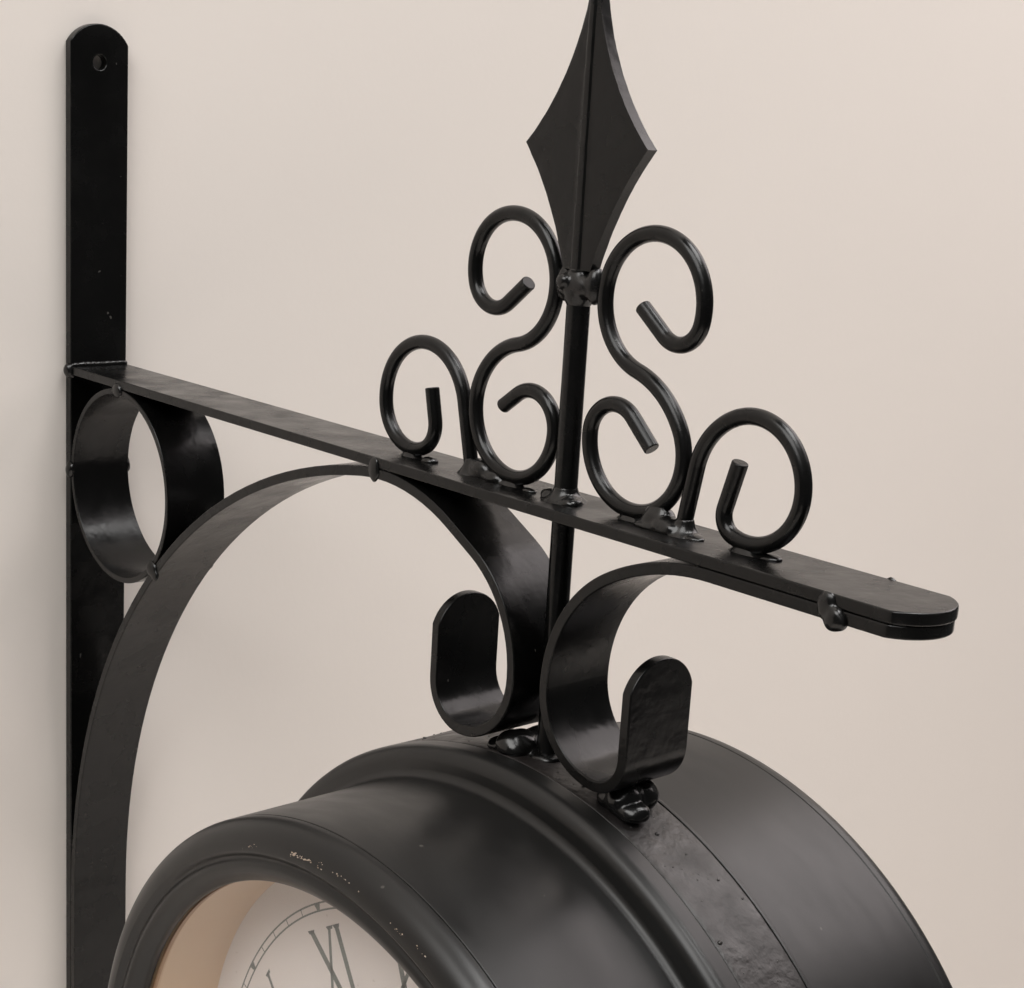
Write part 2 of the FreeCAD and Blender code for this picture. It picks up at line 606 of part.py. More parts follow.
def disc(radius, back, front, hole=0.0, at=(0, 0)):
    """A round plate between two depths, with a hole if hole is over zero."""
    base = V(at[0], -back, at[1])
    plate = Part.makeCylinder(radius, front - back, base, -AXIS_Y)
    if hole:
        plate = plate.cut(Part.makeCylinder(hole, front - back, base, -AXIS_Y))
    return plate


def block(low_x, high_x, low_z, high_z, back, front):
    return Part.makeBox(high_x - low_x, front - back, high_z - low_z, V(low_x, -front, low_z))


def diagonal(centre, radius, right, out):
    """The middle of a quarter round, towards a corner given by two signs."""
    reach = radius * math.sqrt(0.5)
    return centre[0] + right * reach, centre[1] + out * reach


def centre_band():
    return disc(BAND_RADIUS, -BAND_HALF, BAND_HALF, BAND_RADIUS - BAND_WALL)


def drum(bead_depth=BEAD_DEPTH, bead_radius=BEAD_RADIUS):
    """Spun shell: a spigot inside the band, a rolled bead or a lip against its edge, and the drum."""
    bead_front = BAND_HALF + bead_depth
    spigot_radius = BAND_RADIUS - BAND_WALL - SPIGOT_FIT
    inner_radius = spigot_radius - SPIGOT_WALL
    spigot_back = DRUM_SEAT - SPIGOT_LENGTH
    bead_centre = (BAND_RADIUS - bead_radius, bead_front - bead_radius)
    fillet_centre = (DRUM_RADIUS + DRUM_FOOT_FILLET, bead_front + DRUM_FOOT_FILLET)
    drum_inner = DRUM_RADIUS - DRUM_WALL
    flange_back = bead_front - DRUM_WALL
    outside = [(inner_radius, spigot_back), (spigot_radius, spigot_back), (spigot_radius, DRUM_SEAT)]
    outside += [(BAND_RADIUS, DRUM_SEAT), (BAND_RADIUS, bead_centre[1])]
    outside += [(bead_centre[0], bead_front) + diagonal(bead_centre, bead_radius, 1, 1)]
    outside += [(fillet_centre[0], bead_front)]
    outside += [(DRUM_RADIUS, fillet_centre[1]) + diagonal(fillet_centre, DRUM_FOOT_FILLET, -1, -1)]
    outside += [(DRUM_RADIUS, DRUM_FRONT), (drum_inner, DRUM_FRONT)]
    ledge_back = LEDGE_FRONT - LEDGE_THICK
    inside = [(drum_inner, LEDGE_FRONT), (drum_inner - LEDGE_HEIGHT, LEDGE_FRONT)]
    inside += [(drum_inner - LEDGE_HEIGHT, ledge_back), (drum_inner, ledge_back)]
    inside += [(drum_inner, fillet_centre[1] - DRUM_WALL), (fillet_centre[0] - DRUM_WALL, flange_back)]
    if bead_centre[0] < inner_radius:
        inside += [(bead_centre[0], flange_back), (inner_radius, flange_back - DRUM_WALL)]
    else:
        inside += [(inner_radius, flange_back)]
    return turned(outside + inside)


def bezel():
    """Rolled rim with a groove and an inner lip that holds the glass in."""
    seat = DRUM_FRONT + BEZEL_GAP
    skirt_outer = DRUM_RADIUS - DRUM_WALL - BEZEL_GAP
    skirt_inner = skirt_outer - BEZEL_WALL
    roll_centre = (DRUM_RADIUS - BEZEL_ROLL, BEZEL_CREST - BEZEL_ROLL)
    inner_roll = BEZEL_ROLL - BEZEL_WALL
    groove_floor = BEZEL_CREST - BEZEL_GROOVE_DEPTH
    cup_inner = LENS_RADIUS + 2 * BEZEL_GAP
    cup_outer = cup_inner + BEZEL_WALL
    outside = [(skirt_outer, seat - BEZEL_SKIRT), (skirt_outer, seat), (DRUM_RADIUS, seat)]
    outside += [(DRUM_RADIUS, roll_centre[1])]
    outside += [(roll_centre[0], BEZEL_CREST) + diagonal(roll_centre, BEZEL_ROLL, 1, 1)]
    groove_outer = BEZEL_GROOVE_RADIUS + BEZEL_GROOVE_WIDTH
    lip_edge = (BEZEL_GROOVE_RADIUS - BEZEL_LIP_WIDTH, BEZEL_CREST - BEZEL_LIP_FALL)
    lip_middle = (BEZEL_GROOVE_RADIUS - BEZEL_LIP_CROWN[0], lip_edge[1] + BEZEL_LIP_CROWN[1])
    outside += [(groove_outer + BEZEL_GROOVE_SLOPE, BEZEL_CREST), (groove_outer, groove_floor)]
    outside += [(BEZEL_GROOVE_RADIUS, groove_floor), lip_edge + lip_middle]
    outside += [(WELL_MOUTH_RADIUS, BEZEL_CREST - BEZEL_MOUTH_FALL), (WELL_MOUTH_RADIUS, LENS_FRONT)]
    inside = [(cup_inner, LENS_FRONT), (cup_inner, GASKET_BACK - WELL_LIP_THICK)]
    inside += [(cup_outer, GASKET_BACK - WELL_LIP_THICK), (cup_outer, groove_floor - 2 * BEZEL_WALL)]
    inside += [(roll_centre[0], BEZEL_CREST - BEZEL_WALL)]
    inside += [(roll_centre[0] + inner_roll, roll_centre[1]) + diagonal(roll_centre, inner_roll, 1, 1)]
    inside += [(skirt_inner, seat), (skirt_inner, seat - BEZEL_SKIRT)]
    return turned(outside + inside)


def lens():
    return disc(LENS_RADIUS, LENS_BACK, LENS_FRONT)


def lens_gasket():
    return disc(LENS_RADIUS, GASKET_BACK, LENS_BACK, LENS_RADIUS - GASKET_WIDTH)


def well_ring():
    """Cream ring between dial and glass, a little wider at the glass, with a lip at its mouth."""
    lip_back = GASKET_BACK - WELL_LIP_THICK
    profile = [(WELL_FOOT_RADIUS, DIAL_FRONT), (WELL_MOUTH_RADIUS, GASKET_BACK), (LENS_RADIUS, GASKET_BACK)]
    profile += [(LENS_RADIUS, lip_back), (WELL_MOUTH_RADIUS + WELL_WALL, lip_back)]
    profile += [(WELL_FOOT_RADIUS + WELL_WALL, DIAL_FRONT)]
    return turned(profile)


def dial():
    return disc(DIAL_RADIUS, PLATE_FRONT, DIAL_FRONT, BOSS_RADIUS + BOSS_FIT)


def dial_backplate():
    radius = DRUM_RADIUS - DRUM_WALL - PLATE_FIT
    return disc(radius, LEDGE_FRONT, PLATE_FRONT, BOSS_RADIUS + BOSS_FIT)


# quartz movement

def movement_case():
    inner_half = MOVE_HALF_WIDTH - MOVE_WALL
    case = block(-MOVE_HALF_WIDTH, MOVE_HALF_WIDTH, -MOVE_DOWN, MOVE_UP, MOVE_BACK, MOVE_FRONT)
    train_bay = block(-inner_half, inner_half, -MOVE_RIB_DOWN, MOVE_UP - MOVE_WALL, MOVE_BACK, MOVE_INSIDE)
    rib_bottom = -MOVE_RIB_DOWN - MOVE_WALL
    battery_bay = block(-inner_half, inner_half, MOVE_WALL - MOVE_DOWN, rib_bottom, MOVE_BACK, MOVE_INSIDE)
    case = case.cut(train_bay).cut(battery_bay)
    case = case.fuse(disc(BOSS_RADIUS, MOVE_FRONT, BOSS_FRONT))
    return case.cut(disc(HOUR_TUBE_RADIUS + SHAFT_FIT, MOVE_INSIDE, BOSS_FRONT)).removeSplitter()


def movement_cover():
    foot = -MOVE_RIB_DOWN - MOVE_WALL
    cover = block(-MOVE_HALF_WIDTH, MOVE_HALF_WIDTH, foot, MOVE_UP, COVER_BACK, MOVE_BACK)
    return cover.cut(disc(ARBOR_RADIUS + SHAFT_FIT, COVER_BACK, MOVE_BACK, at=(-GEAR_CENTRES, 0)))


def movement_washer():
    return disc(WASHER_RADIUS, MOVE_FRONT, LEDGE_FRONT, BOSS_RADIUS + BOSS_FIT)


def fixing_washer():
    return disc(NUT_WASHER_RADIUS, DIAL_FRONT, DIAL_FRONT + NUT_WASHER_THICK, BOSS_RADIUS + BOSS_FIT)


def fixing_nut():
    back = DIAL_FRONT + NUT_WASHER_THICK
    corner = NUT_ACROSS_FLATS / math.sqrt(3)
    turns = [k * math.pi / 3 for k in range(7)]
    points = [V(corner * math.cos(turn), -back, corner * math.sin(turn)) for turn in turns]
    nut = Part.Face(Part.makePolygon(points)).extrude(V(0, -NUT_HEIGHT, 0))
    return nut.cut(disc(BOSS_RADIUS + THREAD_FIT, back, back + NUT_HEIGHT))


def gear(teeth, back, front, pointing, at=(0, 0)):
    """A toothed wheel with a tooth centred on the direction pointing, in degrees from +X."""
    pitch_radius = GEAR_MODULE * teeth / 2
    tip_radius = pitch_radius + ADDENDUM * GEAR_MODULE
    root_radius = pitch_radius - DEDENDUM * GEAR_MODULE
    pitch_angle = 2 * math.pi / teeth
    root_half = TOOTH_ROOT_SHARE * pitch_angle
    tip_half = TOOTH_TIP_SHARE * pitch_angle
    points = []
    for index in range(teeth):
        middle = math.radians(pointing) + index * pitch_angle
        for radius, side in ((root_radius, -root_half), (tip_radius, -tip_half)):
            points.append((radius, middle + side))
        for radius, side in ((tip_radius, tip_half), (root_radius, root_half)):
            points.append((radius, middle + side))
    corners = [V(at[0] + r * math.cos(a), -back, at[1] + r * math.sin(a)) for r, a in points]
    return Part.Face(Part.makePolygon(corners + corners[:1])).extrude(V(0, back - front, 0))


def setting_arbor():
    """Minute wheel and its pinion on one arbor, which the setting knob turns."""
    at = (-GEAR_CENTRES, 0)
    arbor = disc(ARBOR_RADIUS, KNOB_BACK, ARBOR_FRONT, at=at)
    half_tooth = 180 / MINUTE_WHEEL_TEETH
    wheel_back = MINUTE_WHEEL_FRONT - WHEEL_THICK
    wheel = gear(MINUTE_WHEEL_TEETH, wheel_back, MINUTE_WHEEL_FRONT, half_tooth, at)
    pinion_front = HOUR_WHEEL_FRONT + (PINION_THICK - WHEEL_THICK) / 2
    pinion = gear(MINUTE_PINION_TEETH, pinion_front - PINION_THICK, pinion_front, 0, at)
    return arbor.fuse(wheel).fuse(pinion).removeSplitter()


def setting_knob():
    knob = disc(KNOB_RADIUS, KNOB_BACK, KNOB_FRONT, ARBOR_RADIUS + HAND_FIT)
    for index in range(KNOB_FLUTES):
        angle = 2 * math.pi * index / KNOB_FLUTES
        place = (KNOB_RADIUS * math.cos(angle), KNOB_RADIUS * math.sin(angle))
        knob = knob.cut(disc(KNOB_FLUTE_RADIUS, KNOB_BACK, KNOB_FRONT, at=place))
    knob.translate(V(-GEAR_CENTRES, 0, 0))
    return knob


def minute_shaft():
    shaft = disc(MINUTE_SHAFT_RADIUS, MINUTE_SHAFT_BACK, CAP_BACK + CAP_HEIGHT / 2)
    pinion = gear(CANNON_TEETH, CANNON_FRONT - PINION_THICK, CANNON_FRONT, 180)
    return shaft.fuse(pinion).removeSplitter()


def hour_tube():
    tube = disc(HOUR_TUBE_RADIUS, HOUR_TUBE_BACK, HOUR_TUBE_FRONT)
    half_tooth = 180 / HOUR_WHEEL_TEETH
    wheel = gear(HOUR_WHEEL_TEETH, HOUR_WHEEL_FRONT - WHEEL_THICK, HOUR_WHEEL_FRONT, 180 + half_tooth)
    tube = tube.fuse(wheel).removeSplitter()
    return tube.cut(disc(MINUTE_SHAFT_RADIUS + SHAFT_FIT, HOUR_TUBE_BACK, HOUR_TUBE_FRONT))


def hand(length, angle, half_width, hub_radius, hole, back):
    """A flat hand: a leaf that swells before its point, a short tail, and a raised hub."""
    right = [V(half_width * across, 0, length * out) for across, out in LEAF]
    left = [V(-point.x, 0, point.z) for point in reversed(right[:-1])]
    tail = [V(side * half_width * TAIL_FLARE, 0, -HAND_TAIL) for side in (-1, 1)]
    blade = Part.Face(Part.makePolygon(right + left + tail + right[:1])).extrude(V(0, -HAND_THICK, 0))
    blade.translate(V(0, -back, 0))
    blade.rotate(V(0, 0, 0), AXIS_Y, angle)
    blade = blade.fuse(disc(hub_radius, back, back + HUB_THICK)).removeSplitter()
    return blade.cut(disc(hole, back, back + HUB_THICK))


def hour_hand():
    hole = HOUR_TUBE_RADIUS + HAND_FIT
    return hand(HOUR_HAND_LENGTH, HOUR_HAND_ANGLE, HOUR_HAND_HALF, HOUR_HUB_RADIUS, hole, HOUR_HAND_BACK)


def minute_hand():
    hole = MINUTE_SHAFT_RADIUS + HAND_FIT
    half, hub = MINUTE_HAND_HALF, MINUTE_HUB_RADIUS
    return hand(MINUTE_HAND_LENGTH, MINUTE_HAND_ANGLE, half, hub, hole, MINUTE_HAND_BACK)


def hand_cap():
    cap = disc(CAP_RADIUS, CAP_BACK, CAP_BACK + CAP_HEIGHT)
    return cap.cut(disc(MINUTE_SHAFT_RADIUS + HAND_FIT, CAP_BACK, CAP_BACK + CAP_HEIGHT / 2))


def battery():
    centre = V(-BATTERY_LENGTH / 2, -BATTERY_AT, BATTERY_UP)
    cell = Part.makeCylinder(BATTERY_RADIUS, BATTERY_LENGTH - BATTERY_NUB, centre, AXIS_X)
    nub = Part.makeCylinder(BATTERY_NUB_RADIUS, BATTERY_LENGTH, centre, AXIS_X)
    return cell.fuse(nub).removeSplitter()


def battery_contacts():
    """A contact leaf at each end of the battery bay, dimpled towards the battery."""
    wall = MOVE_HALF_WIDTH - MOVE_WALL
    reach = BATTERY_LENGTH / 2 + CONTACT_GAP
    leaves = []
    corner = V(-CONTACT_THICK, -CONTACT_SIZE / 2, -CONTACT_SIZE / 2)
    for turn in (0, 180):
        plate = Part.makeBox(CONTACT_THICK, CONTACT_SIZE, CONTACT_SIZE, corner)
        dimple = Part.makeCylinder(CONTACT_DIMPLE_RADIUS, wall - reach, V(reach - wall, 0, 0), AXIS_X)
        leaf = plate.fuse(dimple).removeSplitter()
        leaf.translate(V(wall, 0, 0))
        leaf.rotate(V(0, 0, 0), AXIS_Z, turn)
        leaf.translate(V(0, -BATTERY_AT, BATTERY_UP))
        leaves.append(leaf)
    return Part.makeCompound(leaves)


def motor_coil():
    """Coil of the stepping motor, with end cheeks that stand on the case's front wall."""
    across, up = COIL_PLACE
    depth = MOVE_INSIDE - COIL_FROM_WALL
    low_x = across - COIL_LENGTH / 2
    winding = Part.makeCylinder(COIL_RADIUS, COIL_LENGTH, V(low_x, -depth, up), AXIS_X)
    for end in (low_x - CHEEK_THICK, low_x + COIL_LENGTH):
        low, high = up - CHEEK_HALF, up + CHEEK_HALF
        cheek = block(end, end + CHEEK_THICK, low, high, depth - CHEEK_BACK, MOVE_INSIDE)
        winding = winding.fuse(cheek)
    return winding.removeSplitter()


def circuit_board():
    width, thick, height = BOARD_SIZE
    low_x = MOVE_HALF_WIDTH - MOVE_WALL - BOARD_GAP[0] - width
    high_z = MOVE_UP - MOVE_WALL - BOARD_GAP[1]
    return block(low_x, low_x + width, high_z - height, high_z, MOVE_INSIDE - thick, MOVE_INSIDE)


def placed(shape, facing_rear):
    """Moves a piece built about the dials' centre to the clock, turned round for the rear dial."""
    shape = shape.copy()
    if facing_rear:
        shape.rotate(V(0, 0, 0), AXIS_Z, 180)
    shape.translate(V(ROD_X, 0, CASE_Z))
    return shape


def bracket_pieces():
    return {
        "wall_bar": wall_bar(),
        "arm_bar": arm_bar(),
        "drop_rod": drop_rod(),
        "finial": finial(),
        "scroll_bridge": scroll_bridge(),
        "arch_strip": arch_strip(),
        "c_scroll_strip": c_scroll_strip(),
        "corner_ring": corner_ring(),
        "left_s_scroll": wire(*left_s()[0]),
        "right_s_scroll": wire(*right_s()[0]),
        "left_outer_scroll": wire(*left_outer_path()),
        "right_outer_scroll": wire(*right_outer_path()),
        "centre_band": placed(centre_band(), False),
    }


def clock_pieces():
    makers = [drum, bezel, lens, lens_gasket, well_ring, dial, dial_backplate]
    makers += [movement_case, movement_cover, movement_washer, fixing_washer, fixing_nut]
    makers += [setting_arbor, setting_knob, minute_shaft, hour_tube, hour_hand, minute_hand, hand_cap]
    makers += [battery, battery_contacts, motor_coil, circuit_board]
    pieces = {}
    for make in makers:
        shape = make()
        pieces["front_" + make.__name__] = placed(shape, False)
        pieces["rear_" + make.__name__] = placed(shape, True)
    pieces["rear_drum"] = placed(drum(REAR_LIP_DEPTH, REAR_LIP_RADIUS), True)
    return pieces


os.makedirs("parts", exist_ok=True)
pieces = bracket_pieces()
pieces.update(clock_pieces())
for name, shape in pieces.items():
    if not shape.isValid() or not shape.Solids:
        print("not a valid solid:", name)
    shape.exportStep("parts/" + name + ".step")
print(len(pieces), "nodes,", sum(len(shape.Solids) for shape in pieces.values()), "solids")
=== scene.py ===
import bmesh
import bpy
import math
import random
from mathutils import Matrix, Vector, noise


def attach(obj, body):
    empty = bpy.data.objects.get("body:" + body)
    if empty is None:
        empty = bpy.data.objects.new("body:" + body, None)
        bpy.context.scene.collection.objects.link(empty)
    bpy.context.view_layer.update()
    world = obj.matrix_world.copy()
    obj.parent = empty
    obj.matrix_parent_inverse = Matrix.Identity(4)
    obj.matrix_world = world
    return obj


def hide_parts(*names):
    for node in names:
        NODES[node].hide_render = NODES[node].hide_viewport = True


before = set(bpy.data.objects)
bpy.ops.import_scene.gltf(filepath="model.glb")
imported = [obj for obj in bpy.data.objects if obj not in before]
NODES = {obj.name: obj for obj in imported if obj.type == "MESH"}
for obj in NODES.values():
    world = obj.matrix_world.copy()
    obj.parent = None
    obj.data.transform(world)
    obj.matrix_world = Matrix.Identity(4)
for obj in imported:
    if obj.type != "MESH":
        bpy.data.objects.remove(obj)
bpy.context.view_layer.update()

# Double sided station clock on a welded scroll bracket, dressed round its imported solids.
# Lengths are written in millimetres and turned to metres by MM. The wall is at x = 0, z is up,
# the front dial faces -Y. Around a dial, depths run outwards from the clock's middle plane.

MM = 0.001
HALF_WIDTH = 11.0
ROD_X = 248.5
CASE_Z = -190.5
BAND_RADIUS = 121.5
BAND_HALF = 9.5
BAND_WALL = 1.5
DRUM_RADIUS = 112.8
DRUM_WALL = 1.0
DRUM_SEAT = 9.7
DRUM_FRONT = 63.8
SPIGOT_BACK = 3.2
SPIGOT_RADIUS = 119.7
BEAD_FRONT = 17.6
REAR_LIP_FRONT = 11.0
LEDGE_FRONT = 38.5
LEDGE_REACH = 2.0
LEDGE_THICK = 1.5
DIAL_FRONT = 40.5
BEZEL_CREST = 71.7
BEZEL_ROLL = 6.8
BEZEL_SEAT = 63.9
BEZEL_SKIRT = 8.0
MOUTH_RADIUS = 96.5
WELL_FOOT_RADIUS = 95.4
WELL_WALL = 1.0
WELL_FLANGE = 0.8
LENS_RADIUS = 101.0
LENS_FRONT = 66.0
GASKET_BACK = 63.2
SPEAR_FOOT_Z = 58.25
SPEAR_HEIGHT = 69.4
SPEAR_WIDEST_UP = 29.8
BRIDGE_Z = 54.3
SIDES = {"front": -1, "rear": 1}


# ---------------------------------------------------------------- camera

CAMERA_PLACE = (548.6, -291.7, 90.3)
CAMERA_AZIMUTH = 0.834
CAMERA_ELEVATION = 0.2308
CAMERA_ROLL = 0.061
FOCAL_PIXELS = 1680.48
IMAGE_SIZE = (1024, 988)
IMAGE_CENTRE = (506.71, 527.05)
SENSOR = 36.0


def make_camera():
    """The camera that took the picture, from its place, aim and focal length in pixels."""
    turn, lift = CAMERA_AZIMUTH, CAMERA_ELEVATION
    aim = Vector((-math.sin(turn) * math.cos(lift), math.cos(turn) * math.cos(lift), -math.sin(lift)))
    right = Vector((math.cos(turn), math.sin(turn), 0))
    up = right.cross(aim)
    cos_roll, sin_roll = math.cos(CAMERA_ROLL), math.sin(CAMERA_ROLL)
    right, up = cos_roll * right + sin_roll * up, cos_roll * up - sin_roll * right
    data = bpy.data.cameras.new("camera")
    data.sensor_width = SENSOR
    data.lens = FOCAL_PIXELS * SENSOR / IMAGE_SIZE[0]
    data.shift_x = (IMAGE_SIZE[0] / 2 - IMAGE_CENTRE[0]) / IMAGE_SIZE[0]
    data.shift_y = (IMAGE_CENTRE[1] - IMAGE_SIZE[1] / 2) / IMAGE_SIZE[0]
    data.clip_start = 0.02
    camera = bpy.data.objects.new("camera", data)
    place = Vector(CAMERA_PLACE) * MM
    camera.matrix_world = Matrix.Translation(place) @ Matrix((right, up, -aim)).transposed().to_4x4()
    bpy.context.scene.collection.objects.link(camera)
    bpy.context.scene.camera = camera


make_camera()


# ---------------------------------------------------------------- materials

def add_node(tree, kind, inputs=None, **settings):
    """A shader node with its settings; an input is a socket to link or a value."""
    node = tree.nodes.new("ShaderNode" + kind)
    for key, value in settings.items():
        setattr(node, key, value)
    for key, value in (inputs or {}).items():
        socket = node.inputs[key]
        if isinstance(value, bpy.types.NodeSocket):
            tree.links.new(value, socket)
        else:
            socket.default_value = value
    return node


def spread(tree, value, low, high, to_low, to_high):
    ranged = {"Value": value, "From Min": low, "From Max": high, "To Min": to_low, "To Max": to_high}
    return add_node(tree, "MapRange", ranged).outputs["Result"]


def blend_colours(tree, share, first, second):
    mix = add_node(tree, "Mix", data_type="RGBA")
    for index, value in ((0, share), (6, first), (7, second)):
        if isinstance(value, bpy.types.NodeSocket):
            tree.links.new(value, mix.inputs[index])
        else:
            mix.inputs[index].default_value = value if index == 0 else (*value[:3], 1)
    return mix.outputs[2]


def noise_of(tree, coords, scale, detail=3.0, stretch=None):
    if stretch:
        coords = add_node(tree, "Mapping", {"Vector": coords, "Scale": stretch}).outputs[0]
    return add_node(tree, "TexNoise", {"Vector": coords, "Scale": scale, "Detail": detail}).outputs[0]


GLOSS_FINER = 3.3              # the gloss changes in smaller patches than the colour
WEAR_SCALE = 160
BEVEL_SAMPLES = 4


def surface(name, colour, shade, rough, vary=0.08, grain=(900, 0.02), lumps=(120, 0.05),
            patch=25, stretch=None, wear=None, specks=None, cells=None, **shader):
    """A finish: two tones in patches, uneven gloss, fine grain and slow lumps in the relief.
    Scales are per metre, heights in mm.
    grain, lumps: scale and height. cells: scale and height of a pebbled relief.
    wear: tone, width and share of the rubbed edges. specks: tone, scale, threshold, share."""
    material = bpy.data.materials.new(name)
    material.use_nodes = True
    tree = material.node_tree
    tree.nodes.clear()
    coords = add_node(tree, "TexCoord").outputs["Object"]
    cloud = noise_of(tree, coords, patch, 5.0, stretch)
    tone = blend_colours(tree, spread(tree, cloud, 0.35, 0.65, 0, 1), colour, shade)
    smear = noise_of(tree, coords, patch * GLOSS_FINER, 4.0, stretch)
    gloss = spread(tree, smear, 0.3, 0.7, rough - vary, rough + vary)
    fine = noise_of(tree, coords, grain[0], 2.0, stretch)
    slow = noise_of(tree, coords, lumps[0], 2.0)
    relief = add_node(tree, "Bump", {"Height": fine, "Distance": grain[1] * MM, "Strength": 1.0}).outputs[0]
    relief = add_node(tree, "Bump", {"Height": slow, "Distance": lumps[1] * MM, "Strength": 1.0,
                                     "Normal": relief}).outputs[0]
    if cells:
        points = add_node(tree, "TexVoronoi", {"Vector": coords, "Scale": cells[0], "Randomness": 1.0})
        dots = spread(tree, points.outputs["Distance"], 0.0, 0.45, 1, 0)
        relief = add_node(tree, "Bump", {"Height": dots, "Distance": cells[1] * MM, "Strength": 1.0,
                                         "Normal": relief}).outputs[0]
    if wear:
        edge = add_node(tree, "Bevel", {"Radius": wear[1] * MM}, samples=BEVEL_SAMPLES).outputs[0]
        flat = add_node(tree, "NewGeometry").outputs["Normal"]
        facing = add_node(tree, "VectorMath", {0: edge, 1: flat}, operation="DOT_PRODUCT").outputs["Value"]
        sharp = spread(tree, facing, 0.995, 0.9, 0, 1)
        broken = spread(tree, noise_of(tree, coords, WEAR_SCALE, 4.0), 0.45, 0.62, 0, wear[2])
        rubbed = add_node(tree, "Math", {0: sharp, 1: broken}, operation="MULTIPLY").outputs[0]
        tone = blend_colours(tree, rubbed, tone, wear[0])
    if specks:
        dots = noise_of(tree, coords, specks[1], 1.0)
        share = spread(tree, dots, specks[2], specks[2] + 0.02, 0, specks[3])
        tone = blend_colours(tree, share, tone, specks[0])
    inputs = {"Base Color": tone, "Roughness": gloss, "Normal": relief}
    inputs.update({key.replace("_", " "): value for key, value in shader.items()})
    body = add_node(tree, "BsdfPrincipled", inputs)
    add_node(tree, "OutputMaterial", {"Surface": body.outputs[0]})
    return material


def glass(name):
    """Clear float glass, with shadow rays let through."""
    material = bpy.data.materials.new(name)
    material.use_nodes = True
    tree = material.node_tree
    tree.nodes.clear()
    coords = add_node(tree, "TexCoord").outputs["Object"]
    haze = spread(tree, noise_of(tree, coords, 40, 4.0), 0.4, 0.8, 0.0, 0.03)
    wave = add_node(tree, "Bump", {"Height": noise_of(tree, coords, 18, 1.0), "Distance": 0.02 * MM,
                                   "Strength": 0.4}).outputs[0]
    body = add_node(tree, "BsdfPrincipled", {"Base Color": (1, 1, 1, 1), "Roughness": haze, "IOR": 1.5,
                                             "Transmission Weight": 1.0, "Normal": wave})
    clear = add_node(tree, "BsdfTransparent")
    shadow = add_node(tree, "LightPath").outputs["Is Shadow Ray"]
    mix = add_node(tree, "MixShader", {0: shadow, 1: body.outputs[0], 2: clear.outputs[0]})
    add_node(tree, "OutputMaterial", {"Surface": mix.outputs[0]})
    return material


